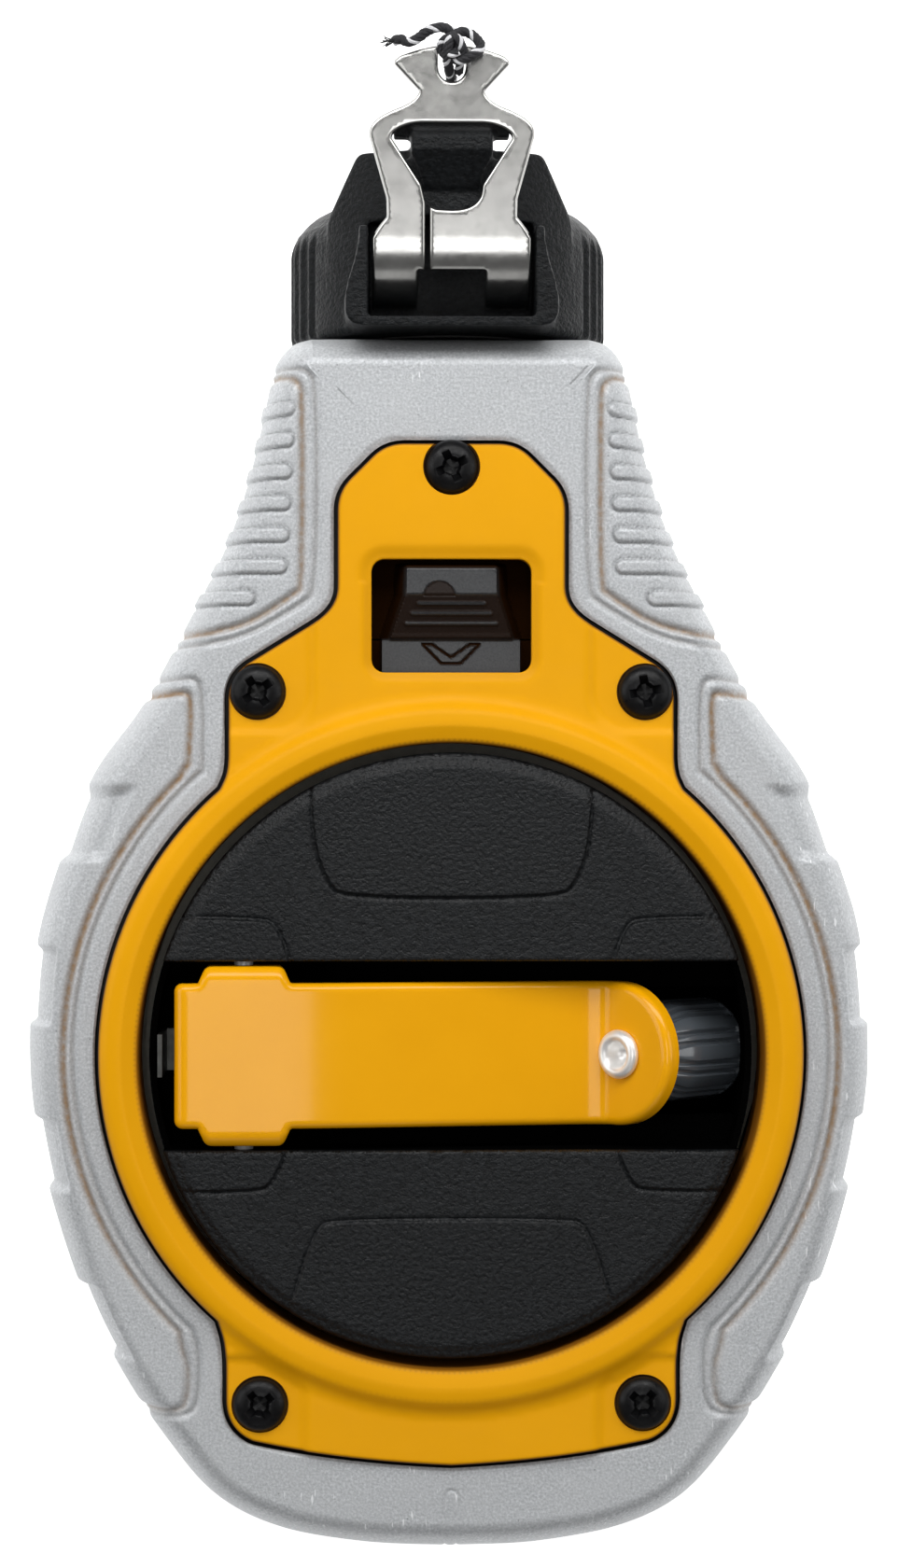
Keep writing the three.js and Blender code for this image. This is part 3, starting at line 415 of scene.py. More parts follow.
class Shader:
    """One material and the few nodes that these finishes use."""

    def __init__(self, name, colour, roughness, metallic=0.0, specular=0.5, coat=0.0, coat_roughness=0.1):
        material = bpy.data.materials.new(name)
        material.use_nodes = True
        self.tree = material.node_tree
        self.out = self.tree.nodes["Principled BSDF"]
        constants = {"Base Color": (*colour, 1), "Roughness": roughness, "Metallic": metallic,
                     "Specular IOR Level": specular, "Coat Weight": coat, "Coat Roughness": coat_roughness}
        for key, value in constants.items():
            self.out.inputs[key].default_value = value
        self.place = self.tree.nodes.new("ShaderNodeTexCoord").outputs["Object"]
        self.height = None
        FINISHES[name] = material

    def fed(self, made, sockets, values):
        """Links or sets a node's inputs. A colour comes as three numbers."""
        for socket, value in zip(sockets, values):
            if isinstance(value, bpy.types.NodeSocket):
                self.tree.links.new(value, socket)
            else:
                socket.default_value = (*value, 1) if socket.type == "RGBA" else value
        return made

    def node(self, kind, **inputs):
        made = self.tree.nodes.new(kind)
        return self.fed(made, [made.inputs[key] for key in inputs], inputs.values())

    def stretched(self, x, y, z):
        return self.node("ShaderNodeMapping", Vector=self.place, Scale=(x, y, z)).outputs["Vector"]

    def noise(self, size_mm, detail=3.0, roughness=0.55, place=None):
        made = self.node("ShaderNodeTexNoise", Vector=place or self.place, Scale=1 / (size_mm * MM),
                         Detail=detail, Roughness=roughness)
        return made.outputs["Fac"]

    def cells(self, size_mm, place=None):
        made = self.node("ShaderNodeTexVoronoi", Vector=place or self.place, Scale=1 / (size_mm * MM))
        return made.outputs["Distance"]

    def attribute(self, name):
        made = self.tree.nodes.new("ShaderNodeAttribute")
        made.attribute_name = name
        return made.outputs["Fac"]

    def ramp(self, fac, *stops):
        made = self.node("ShaderNodeValToRGB", Fac=fac)
        elements = made.color_ramp.elements
        while len(elements) < len(stops):
            elements.new(0.5)
        for element, (position, value) in zip(elements, stops):
            element.position = position
            element.color = (*value, 1) if hasattr(value, "__len__") else (value, value, value, 1)
        return made.outputs["Color"]

    def blend(self, fac, first, second):
        made = self.tree.nodes.new("ShaderNodeMix")
        made.data_type = "RGBA"
        return self.fed(made, (made.inputs[0], made.inputs[6], made.inputs[7]), (fac, first, second)).outputs[2]

    def times(self, first, second, kind="MULTIPLY"):
        made = self.tree.nodes.new("ShaderNodeMath")
        made.operation = kind
        return self.fed(made, made.inputs, (first, second)).outputs[0]

    def colour(self, socket):
        self.tree.links.new(socket, self.out.inputs["Base Color"])

    def shaded(self, base, deep, specular):
        """Takes the colour and the shine down where the mesh's shade attribute says it lies deep."""
        shade = self.attribute("shade")
        self.colour(self.blend(shade, base, deep))
        shine = self.times(self.times(1.0, shade, "SUBTRACT"), specular)
        self.tree.links.new(shine, self.out.inputs["Specular IOR Level"])

    def rough(self, low, high, fac, stops=(0.3, 0.7)):
        """Lets the roughness wander between two values."""
        socket = self.ramp(fac, (stops[0], low), (stops[1], high))
        self.tree.links.new(socket, self.out.inputs["Roughness"])

    def bump(self, fac, depth_mm, strength=1.0):
        """Adds relief of a real depth on top of any there already."""
        made = self.node("ShaderNodeBump", Height=fac, Distance=depth_mm * MM, Strength=strength)
        if self.height is not None:
            self.tree.links.new(self.height, made.inputs["Normal"])
        self.height = made.outputs["Normal"]
        self.tree.links.new(self.height, self.out.inputs["Normal"])


def cast_case():
    """Silver powder coat on a die casting, with grain, rubbed scratches, chalk in the grooves and painted shade in the
    grooves and the hollow behind the cover.
    """
    s = Shader("cast_case", (0.56, 0.58, 0.6), 0.5, metallic=0.3)
    grain = s.noise(0.34, 2.5, 0.6)
    cloud = s.noise(9, 3)
    base = s.ramp(grain, (0.3, (0.38, 0.395, 0.41)), (0.5, (0.50, 0.515, 0.53)), (0.72, (0.66, 0.675, 0.69)))
    base = s.blend(s.ramp(cloud, (0.35, 0.0), (0.7, 0.35)), base, (0.56, 0.57, 0.58))
    spots = s.ramp(s.cells(2.3), (0.035, 1.0), (0.07, 0.0))
    base = s.blend(spots, base, (0.30, 0.31, 0.32))
    scratch = s.noise(0.5, 1, 0.4, s.stretched(1.0, 0.16, 1.0))
    scratch = s.ramp(scratch, (0.705, 0.0), (0.74, 1.0))
    where = s.ramp(s.noise(14, 2), (0.52, 0.0), (0.62, 0.8))
    base = s.blend(s.times(scratch, where), base, (0.9, 0.91, 0.92))
    dirt_and_shade = s.attribute("dirt_and_shade")
    patchy = s.ramp(s.noise(1.1, 4, 0.65), (0.3, 0.35), (0.6, 1.0))
    # painted shade: near black in the grooves, round the ribs and in the hollow behind the cover
    base = s.blend(s.times(s.attribute("shade"), 0.45), base, (0.02, 0.018, 0.016))
    s.colour(s.blend(s.times(dirt_and_shade, patchy), base, (0.30, 0.19, 0.10)))
    s.rough(0.44, 0.56, cloud)
    s.bump(grain, 0.06, 0.8)
    s.bump(s.noise(1.5, 2), 0.05, 0.6)


def yellow_plastic():
    s = Shader("yellow_plastic", (0.85, 0.385, 0.001), 0.42, specular=0.1)
    cloud = s.noise(16, 3)
    base = s.ramp(cloud, (0.3, (0.83, 0.375, 0.001)), (0.7, (0.87, 0.395, 0.002)))
    # the dark brown blend is painted shade, with some grime, along the cover's edges, lip, pockets and window
    s.colour(s.blend(s.attribute("dirt_and_shade"), base, (0.16, 0.05, 0.008)))
    s.rough(0.36, 0.45, s.noise(3, 3))
    s.bump(s.noise(0.25, 2), 0.012, 0.5)
    s.bump(s.noise(5, 2), 0.05, 0.3)


def yellow_paint():
    s = Shader("yellow_paint", (0.9, 0.4, 0.002), 0.28, specular=0.05, coat=0.55, coat_roughness=0.12)
    s.colour(s.ramp(s.noise(12, 3), (0.3, (0.89, 0.395, 0.001)), (0.7, (0.92, 0.415, 0.002))))
    s.bump(s.noise(1.6, 2), 0.015, 0.4)


def black_plastic():
    """Spark-textured moulding."""
    s = Shader("black_plastic", (0.006, 0.007, 0.008), 0.46)
    grain = s.noise(0.55, 2.5, 0.6)
    base = s.ramp(grain, (0.35, (0.0015, 0.002, 0.0025)), (0.7, (0.009, 0.0105, 0.012)))
    s.shaded(base, (0.0015, 0.0015, 0.0015), 0.3)
    s.rough(0.34, 0.54, grain, (0.35, 0.7))
    s.bump(grain, 0.26, 1.0)


def cap_plastic():
    s = Shader("cap_plastic", (0.004, 0.005, 0.006), 0.45, specular=0.19)
    grain = s.noise(0.6, 3, 0.6)
    s.colour(s.ramp(grain, (0.3, (0.001, 0.0013, 0.0016)), (0.72, (0.008, 0.0095, 0.011))))
    s.rough(0.34, 0.5, s.noise(2.5, 3))
    s.bump(grain, 0.28, 1.0)


def grey_plastic():
    s = Shader("grey_plastic", (0.03, 0.031, 0.033), 0.3, specular=0.5)
    grain = s.noise(0.28, 2, 0.6)
    base = s.ramp(grain, (0.3, (0.014, 0.015, 0.017)), (0.75, (0.034, 0.035, 0.037)))
    s.shaded(base, (0.016, 0.006, 0.0015), 0.45)
    s.bump(grain, 0.035, 0.8)


def satin(name, colour, patch_mm, low, high, grain, depth_mm, strength, **looks):
    """One colour, with patches of more and less gloss and a faint relief."""
    s = Shader(name, colour, (low + high) / 2, **looks)
    s.rough(low, high, s.noise(patch_mm, 3))
    s.bump(s.noise(*grain), depth_mm, strength)


def stainless():
    """Tumbled sheet: faint rolling lines, small dents and scuffs."""
    s = Shader("stainless", (0.6, 0.6, 0.585), 0.22, metallic=1.0)
    s.colour(s.ramp(s.noise(5, 3), (0.3, (0.46, 0.455, 0.44)), (0.7, (0.58, 0.575, 0.555))))
    s.rough(0.17, 0.27, s.noise(1.6, 4, 0.65), (0.3, 0.72))
    s.bump(s.noise(0.5, 3, 0.6, s.stretched(1.0, 0.08, 0.08)), 0.0015, 0.4)
    s.bump(s.noise(2.4, 2), 0.006, 0.3)


def grainy(name, colour, roughness, grain_mm, depth_mm, spread=0.2):
    """A colour that varies with the same grain as its relief."""
    s = Shader(name, colour, roughness)
    grain = s.noise(grain_mm, 3)
    low = tuple(c * (1 - spread) for c in colour)
    high = tuple(min(1, c * (1 + spread)) for c in colour)
    s.colour(s.ramp(grain, (0.3, low), (0.7, high)))
    s.bump(grain, depth_mm, 0.8)


for make in (cast_case, yellow_plastic, yellow_paint, black_plastic, cap_plastic, grey_plastic, stainless):
    make()
# The knob's black is painted lighter than it is: painted light, standing in for the light that does not reach it in
# the slot.
satin("gloss_black", (0.085, 0.098, 0.112), 1.4, 0.16, 0.27, (0.8, 2), 0.01, 0.4,
      specular=0.8, coat=0.7, coat_roughness=0.05)
satin("black_screw", (0.004, 0.004, 0.0045), 0.7, 0.26, 0.46, (0.5, 3), 0.03, 0.6, specular=0.2)
# painted shade: the steel is painted near black, as the detent spring looks down in the dark slot; the eyelet shares
# it
satin("plain_steel", (0.08, 0.08, 0.075), 1.2, 0.32, 0.5, (0.4, 2), 0.01, 0.5, metallic=1.0)
satin("bright_rivet", (0.93, 0.92, 0.9), 0.8, 0.3, 0.45, (0.7, 2), 0.008, 0.4, metallic=0.55)
grainy("braided_line", (0.022, 0.022, 0.025), 0.8, 0.12, 0.05, 0.6)
grainy("white_tracer", (0.72, 0.72, 0.74), 0.8, 0.12, 0.05, 0.15)
grainy("nylon", (0.7, 0.66, 0.55), 0.45, 1.2, 0.02, 0.06)
grainy("rubber", (0.02, 0.02, 0.02), 0.75, 0.5, 0.03)
grainy("felt", (0.45, 0.41, 0.36), 0.95, 0.18, 0.15, 0.25)

# ---------------------------------------------------------------- case
CASE_SIDE = [
    (0, -66), (12, -65.4), (22.9, -63.3), (31, -59.3), (37.5, -52), (43.5, -43), (48.8, -32.5),
    (53, -20), (55.6, -7), (56, 4), (54.8, 16), (51.5, 27), (47.5, 37), (40.5, 47), (34.3, 58.5),
    (29.4, 68.6), (26.2, 78.8), (24.4, 87), (23.6, 90.5), (22.5, 92.7), (20.8, 94.3), (18.5, NECK_TOP_Y),
]
CASE_STEP = 0.26


def cover_side(step=0.4):
    """The right-hand side of the cover's outline, from bottom to top."""
    return spaced(np.vstack([
        eased((0, -53.7), (15, -53), (26, -50.5)), eased((26, -50.5), (29.5, -49), (29.5, -45)),
        rounded([(29.5, -45), (29.5, -38.2), (30.6, -34.6)], 3), arc((0, 0), RING_R, -48, 48.5, 120),
        rounded([(30.3, 34.9), (29.2, 37.3), (29.2, 42)], 3), eased((29.2, 46.6), (29.2, 49.9), (26.3, 51.6)),
        eased((18.2, 56.6), (14.9, 58.6), (14.9, 61.5)), eased((14.9, 71.4), (14.9, 73.9), (13.2, 75.6)),
        eased((10.3, 78.5), (8.6, 80.2), (6.1, 80.2)), [(0, 80.2)],
    ]), step)


# Places on the case's silhouette and on the cover's outline that the case's front face runs between.
FACE_SPOKES = [
    ((22.9, -63.3), (20, -52)), ((37.5, -52), (29.4, -46)), ((43.5, -43), (29.6, -38)),
    ((48.8, -32.5), (36.5, -28.3)), ((56, 4), (46.1, 3.3)), ((51.5, 27), (41, 21.5)),
    ((44, 42), (30.3, 34.9)), ((38, 51.5), (29.2, 44)), ((34.3, 58.5), (26.3, 51.6)),
    ((30, 67), (16, 60)), ((26.2, 78.8), (14.9, 70.5)), ((23.8, 90), (11.8, 77)), ((19, 95), (8, 80)),
]

# The pair of grooves round the grip panel on the neck, and the pair round the lower side panel.
NECK_GROOVES = [
    rounded([(26, 90.6), (21.4, 90.3), (18.9, 90), (17.7, 87.8), (17.7, 60.9), (19.6, 59.2), (28.5, 54.2),
             (38.5, 53.6)]),
    rounded([(26, 89.4), (21.4, 89.2), (19.9, 88), (19.6, 86), (19.6, 61.6), (20.4, 60.6), (28, 55.7), (38.5, 55)]),
]
SIDE_GROOVES = [
    np.vstack([
        rounded([(46, 49), (37.9, 49.3), (34, 49.6), (32.6, 48.2), (32.6, 37.3)], 3),
        arc((0, 0), 49.6, 46, -46.5, 60),
        rounded([(33.5, -37.6), (33.1, -40), (33.3, -45.6), (34.5, -47.2), (42, -47.9)], 3),
    ]),
    np.vstack([
        rounded([(46, 47), (38.4, 47.3), (34.8, 47.7), (34.1, 46.5), (34.5, 38.3)], 3),
        arc((0, 0), 50.9, 45.5, -45.5, 60),
        rounded([(35.3, -38.6), (34.5, -41), (34.7, -45.2), (35.7, -46.6), (42, -46.9)], 3),
    ]),
]
RIBS = [(25.9, 60.0), (21.7, 64.15), (21.4, 68.3), (21.2, 72.45), (21.0, 76.6), (20.8, 80.75), (20.7, 84.9)]
# The thumb cuts in each side: lowest and highest y, and how far in they reach.
GRIP_CUTS = [(25.7, 35.2, 6.2), (3.9, 14.1, 3.4), (-17.9, -8.5, 3.4), (-40.3, -30.3, 3.0)]


def matched_to(case_side, cover):
    """The points of the cover's outline that the points of the case's outline face."""
    case_at, cover_at = along(case_side), along(cover)
    keys = [(0, 0)]
    for on_case, on_cover in FACE_SPOKES:
        keys.append((case_at[np.argmin(np.linalg.norm(case_side - on_case, axis=1))],
                     cover_at[np.argmin(np.linalg.norm(cover - on_cover, axis=1))]))
    keys.append((case_at[-1], cover_at[-1]))
    first, second = np.array(keys).T
    return taken_at(cover, np.interp(case_at, first, second))


def case_relief(x, y, inset, steepness):
    """How far the case's surface stands out, how much chalk lies on it, and the painted shade along its grooves and
    round its ribs.
    """
    p = folded_across(np.stack([x, y], axis=1))
    relief, dirt_and_shade, shade = np.zeros(len(p)), np.zeros(len(p)), np.zeros(len(p))
    for (outer, inner), width, dark in ((NECK_GROOVES, 0.42, 0.8), (SIDE_GROOVES, 0.42, 1.0)):
        to_outer, to_inner = distance_to(p, outer), distance_to(p, inner)
        relief -= 0.42 * bump_at(to_outer, 0, width) + 0.52 * bump_at(to_inner, 0, 0.5)
        dirt_and_shade += dark * bump_at(to_inner, 0, 0.42) + 0.12 * bump_at(to_outer, 0, 0.3)
        # painted shade: a dark line along each groove
        shade += 0.6 * bump_at(to_inner, 0, 0.24) + 0.6 * bump_at(to_outer, 0, 0.22)
    for start, middle in RIBS:
        radius = 0.86
        to_rib = distance_to(p, [(start + radius, middle), (60, middle)]) - radius
        relief += 0.34 * smooth_step(0.14, -0.14, to_rib) - 0.16 * bump_at(to_rib, 0.24, 0.2)
        # painted shade: a dark outline round each rib
        shade += 0.85 * bump_at(to_rib, 0.14, 0.17) * smooth_step(0.2, 1.2, inset)
    for low, high, reach in GRIP_CUTS:
        slope = 0.75 + 0.6 * smooth_step(3.5, 6, np.full(1, reach))[0]
        across = smooth_step(low - slope / 2, low + slope, y) * smooth_step(high + slope / 2, high - slope, y)
        relief -= 0.95 * across * smooth_step(reach + slope / 2, reach - slope, inset)
    mark = distance_to(p, [(0, -57.9), (0, -70)]) - 0.75
    relief -= 0.16 * bump_at(mark, 0, 0.2) * (y < -50)
    relief += 0.04 * np.sin(x * 0.31 + 2 * np.sin(y * 0.17)) * np.sin(y * 0.23 + x * 0.11)
    dirt_and_shade *= 0.35 + 0.65 * smooth_step(-48, -5, y)
    return relief * steepness, np.clip(dirt_and_shade, 0, 1), np.clip(shade, 0, 1)


def case():
    """The casting: rows of points from the cover's seat over the front, round the sides and onto the back."""
    side = spaced(np.vstack([spline(CASE_SIDE, 20), [(0, NECK_TOP_Y)]]), CASE_STEP)
    cover = cover_side()
    edge = mirrored(matched_to(side, cover))
    silhouette = mirrored(side)
    fit = widened(edge, COVER_FIT)
    front = widened(silhouette, -CASE_EDGE_INSET)
    rows = []
    face_rows, edge_rows, back_rows = 52, 32, 10

    def row(loop, z, inset, live):
        rows.append((loop, np.full(len(loop), float(z)), np.broadcast_to(inset, len(loop)), live))

    reach = np.linalg.norm(front - fit, axis=1)
    for out in np.linspace(0, 1, face_rows) ** 0.9:
        rim = 0.25 * (1 - smooth_step(0, 0.06, out))
        row(fit + out * (front - fit), CASE_FACE_Z - rim, CASE_EDGE_INSET + (1 - out) * reach, float(out > 0.06))
    for t in np.linspace(0, math.pi / 2, edge_rows)[1:]:
        inset = CASE_EDGE_INSET * (1 - math.sin(t))
        row(widened(silhouette, -inset), CASE_FACE_Z - CASE_EDGE_DEPTH * (1 - math.cos(t)), inset, 1.0)
    for z in np.linspace(CASE_FACE_Z - CASE_EDGE_DEPTH, CASE_EDGE_DEPTH, 9)[1:]:
        row(silhouette, z, 0, 1.0)
    for t in np.linspace(0, math.pi / 2, back_rows)[1:]:
        inset = CASE_EDGE_INSET * (1 - math.cos(t))
        row(widened(silhouette, -inset), CASE_EDGE_DEPTH * (1 - math.sin(t)), inset, 1 - t / math.pi * 2)
    row(widened(silhouette, -CASE_EDGE_INSET - 0.5), 0, 5, 0.0)
    outer_rows = len(rows)
    cavity = widened(silhouette, -CASE_WALL)
    ledge = widened(edge, -2.2)
    for loop, z in ((cavity, 2.8), (cavity, 47.5), (ledge, 47.5), (ledge, 48.4), (fit, 48.4), (fit, 51.7)):
        row(loop, z, 5, 0.0)

    count = len(silhouette)
    grid = np.array([np.c_[loop, z] for loop, z, _, _ in rows])
    outer = grid[:outer_rows]
    normal = np.cross(np.gradient(outer, axis=0), np.roll(outer, -1, axis=1) - np.roll(outer, 1, axis=1))
    normal /= np.maximum(np.linalg.norm(normal, axis=2), 1e-9)[..., None]
    if normal[5, 5, 2] < 0:
        normal = -normal
    x, y = outer[..., 0].ravel(), outer[..., 1].ravel()
    inset = np.array([r[2] for r in rows[:outer_rows]]).ravel()
    live = np.repeat([r[3] for r in rows[:outer_rows]], count)
    relief, chalk, shade = case_relief(x, y, inset, live)
    grid[:outer_rows] += relief.reshape(outer_rows, count)[..., None] * normal

    faces = band(outer_rows, count)
    faces += [[i + outer_rows * count for i in f] for f in band(len(rows) - outer_rows, count)]
    last = (len(rows) - 1) * count
    j = np.arange(count)
    k = (j + 1) % count
    faces += np.stack([last + j, last + k, k, j], axis=1).tolist()
    faces.append(((outer_rows - 1) * count + j).tolist())
    faces.append((outer_rows * count + j)[::-1].tolist())
    vertices = grid.reshape(-1, 3)
    obj = raw_object("case_casting", (vertices, faces))
    # painted shade: the rows inside, behind the cover, get the deepest shade and come out near black
    unseen = len(vertices) - len(chalk)
    painted(obj, "dirt_and_shade", np.r_[chalk, np.zeros(unseen)])
    painted(obj, "shade", np.r_[shade, np.full(unseen, DEEP)])
    return finished(obj, "cast_case", "case", ["case_shell"], smooth=50)


# ---------------------------------------------------------------- front cover
COVER_LOOP = mirrored(cover_side(0.45))
WINDOW_LOOP = rectangle(-WINDOW_HALF, WINDOW_HALF, WINDOW_LOW, WINDOW_HIGH, WINDOW_CORNER)


def window_slope(p):
    """The distance from the window in widths of the slope round it."""
    return signed_distance(p, WINDOW_LOOP) / np.where(p[:, 1] > 62, 2.2, 1.5)


def cover_height(p):
    """The cover's front: a plate with lowered ears, the bead round the disc and the slope to the window."""
    x, y = np.abs(p[:, 0]), p[:, 1]
    r = np.hypot(p[:, 0], y)
    ear_line = np.where(y > 0, 18.3, 19.3)
    corner = np.where(y > 0, 47.5, 44.5)
    off_corner = np.hypot(np.clip(ear_line + 5 - x, 0, None), np.clip(corner - np.abs(y), 0, None))
    ear = smooth_step(5.6, 4.5, off_corner) * (np.abs(y) > 25) * (x > 12)
    plate = COVER_TOP_Z - 0.5 * ear
    rise = 54.1 + 0.8 * np.clip((r - OPENING_R) / 2.2, 0, 1)
    ring = rise - 0.2 * smooth_step(43.4, 45.2, r) - 1.9 * smooth_step(44.9, 47.3, r)
    z = np.where(r < 47.4, np.maximum(plate, ring) + 0.25 * bump_at(plate, ring, 0.5), plate)
    near = (y > 45) & (y < 70) & (x < 14)
    slope = window_slope(p)
    z -= np.where(near, 0.45 * (1 - smooth_step(0.0, 1.0, slope)) + 0.12 * (signed_distance(p, WINDOW_LOOP) < 0.05), 0)
    outline = distance_to(p, COVER_LOOP, closed=True)
    outline = np.where(inside(p, COVER_LOOP), outline, 0)
    return z - round_off(outline, 0.5) - round_off(r - OPENING_R, 0.35)


def cover():
    """The plate with its bead, the skirt under the bead, and a pocket for each screw head."""
    radii = (41.06, 41.16, 41.35, 41.7, 42.1, 42.6, 43.0, 43.17, 43.25, 43.5, 44, 44.6, 45.1, 45.4)
    bead = [ring_of(radius, 360, 0.5 * (i % 2)) for i, radius in enumerate(radii)]
    edges = [widened(COVER_LOOP, -d) for d in (0.03, 0.1, 0.22, 0.36, 0.52, 0.85)]
    dish = [widened(WINDOW_LOOP, d) for d in (0.12, 0.3, 0.55, 0.8, 1.1, 1.5, 1.9, 2.3)]
    field = lattice(-46, 46, -54, 81, 0.62)
    r = np.hypot(*field.T)
    depth = distance_to(field, COVER_LOOP, closed=True)
    field = field[(r > 45.6) & inside(field, COVER_LOOP) & (depth > 1.05)
                  & (signed_distance(field, WINDOW_LOOP) > 2.5)]
    extra = np.vstack([*bead, *edges, *dish, field])
    extra = extra[inside(extra, COVER_LOOP) & (np.hypot(*extra.T) > OPENING_R + 0.02)]
    obj = raw_object("front_cover_moulding", plate_mesh(
        [COVER_LOOP, ring_of(OPENING_R, 360), WINDOW_LOOP], extra, cover_height, flat_at(COVER_BACK_Z)))
    skirt = [(OPENING_R, 44), (42.6, 44), (42.6, 50.6), (OPENING_R, 50.6)]
    combine(obj, "UNION", turned_mesh(skirt, 180))
    pocket, faces = rod(3.75, SCREW_SEAT_Z, 60, 48)
    combine(obj, "DIFFERENCE", several([(pocket + (x, y, 0), faces) for x, y in COVER_SCREWS]),
            box_mesh(-2.3, 2.3, 38, 46, 45.9, 50.1))
    places = places_of(obj)
    flat = places[:, :2]
    r = np.hypot(*flat.T)
    # Painted shade, with some grime: dark along the cover's edge and down its sides, round the opening's lip, faintly
    # on the bead's inner slope and on the slope round the window, and on each screw pocket's floor.
    shade_and_grime = 0.9 * bump_at(distance_to(flat, COVER_LOOP, closed=True), 0, 0.24)
    shade_and_grime += 0.8 * bump_at(r, OPENING_R, 0.3) + 0.05 * smooth_step(43.3, 43.15, r)
    shade_and_grime += 0.13 * (1 - smooth_step(0.4, 1, window_slope(flat)))
    shade_and_grime[places[:, 2] < SCREW_SEAT_Z + 0.05] = 0.9
    painted(obj, "dirt_and_shade", np.minimum(shade_and_grime, 1))
    return finished(obj, "yellow_plastic", "case", ["front_cover"], smooth=42)


def pan_head():
    """A cross-recessed pan head with its seat at z = 0."""
    dome = [(0, -9), (1.5, -9), (1.5, 0), (3.2, 0), (3.5, 0.25), (3.55, 0.7), (3.45, 1.15), (3.1, 1.6),
            (2.5, 1.95), (1.7, 2.2), (0.8, 2.31), (0, 2.33)]
    obj = raw_object("head", turned_mesh(dome, 72))
    arms = []
    for turn in (0, math.pi / 2):
        corners = []
        for z, half_length, half_width in ((0.35, 1.05, 0.34), (2.6, 2.45, 0.62)):
            for dx, dy in ((-1, -1), (1, -1), (1, 1), (-1, 1)):
                x, y = dx * half_length, dy * half_width
                corners.append((x * math.cos(turn) - y * math.sin(turn), x * math.sin(turn) + y * math.cos(turn), z))
        arms.append((corners, [(3, 2, 1, 0), (4, 5, 6, 7), (0, 1, 5, 4), (1, 2, 6, 5), (2, 3, 7, 6), (3, 0, 4, 7)]))
    core = turned_mesh([(0, 0.2), (0.9, 0.35), (1.35, 2.6), (0, 2.6)], 24)
    combine(obj, "DIFFERENCE", *arms, core)
    return edges_rounded(obj, 0.09, 2, 28)


def cover_screws():
    """Five heads, each turned its own way, as they are when tightened by hand."""
    pattern = pan_head()
    for i, ((x, y), turn) in enumerate(zip(COVER_SCREWS, (24, 10, 35, 50, 38))):
        obj = bpy.data.objects.new(f"pan_screw_{i + 1}", pattern.data.copy())
        bpy.context.scene.collection.objects.link(obj)
        seat = Matrix.Translation((x * MM, y * MM, (SCREW_SEAT_Z + 0.02) * MM))
        obj.data.transform(seat @ Matrix.Rotation(math.radians(turn), 4, "Z"))
        finished(obj, "black_screw", "case", [f"cover_screw_{i + 1}"], smooth=45)
    bpy.data.objects.remove(pattern)


# ---------------------------------------------------------------- crank disc
# The raised pads' outlines. The side pads are given on the right, and the left has the same.
TOP_PAD, LOW_PAD, SIDE_PAD_TOP, SIDE_PAD_LOW = (rounded(loop, closed=True) for loop in (
    [(-18.5, 50), (-18.3, 29), (-16.2, 22.8), (-14, 20.9), (14, 20.9), (16.2, 22.8), (18.3, 29), (18.5, 50)],
    [(-26, -50), (-20.4, -31), (-17.6, -22.6), (-15.5, -21.6), (15.5, -21.6), (17.6, -22.6), (20.4, -31), (26, -50)],
    [(21.2, 8), (21.4, 13), (23, 16.8), (24.6, 17.9), (45, 17.9), (45, 8)],
    [(21.6, -8), (21.8, -12.6), (23.6, -16.4), (25.2, -17.5), (45, -17.5), (45, -8)],
))
PAD_LINES = np.vstack([
    widened(spaced(np.vstack([pad, pad[:1]]), 0.35)[:-1], d)
    for pad in (TOP_PAD, LOW_PAD, SIDE_PAD_TOP, SIDE_PAD_TOP * (-1, 1), SIDE_PAD_LOW, SIDE_PAD_LOW * (-1, 1))
    for d in (-0.62, -0.47, -0.34, -0.2, -0.1, 0, 0.1, 0.2, 0.34, 0.47, 0.62)
])


def disc_height(p):
    """The disc's front: the pads with a groove round each, the rim and the lips of the slot."""
    r = np.hypot(*p.T)
    folded = folded_across(p)
    z = np.full(len(p), DISC_TOP_Z)
    for pad, where, tall in ((TOP_PAD, p, 0.34), (LOW_PAD, p, 0.2), (SIDE_PAD_TOP, folded, 0.3),
                             (SIDE_PAD_LOW, folded, 0.3)):
        d = signed_distance(where, pad)
        z += tall * smooth_step(0.16, -0.16, d) - 0.2 * bump_at(d, 0.34, 0.2)
    z -= 0.34 * smooth_step(37.9, 38.7, r)
    return z - 0.95 / 1.1 * round_off(DISC_R - r, 1.1) - round_off(np.abs(p[:, 1]) - SLOT_HALF, 0.4)


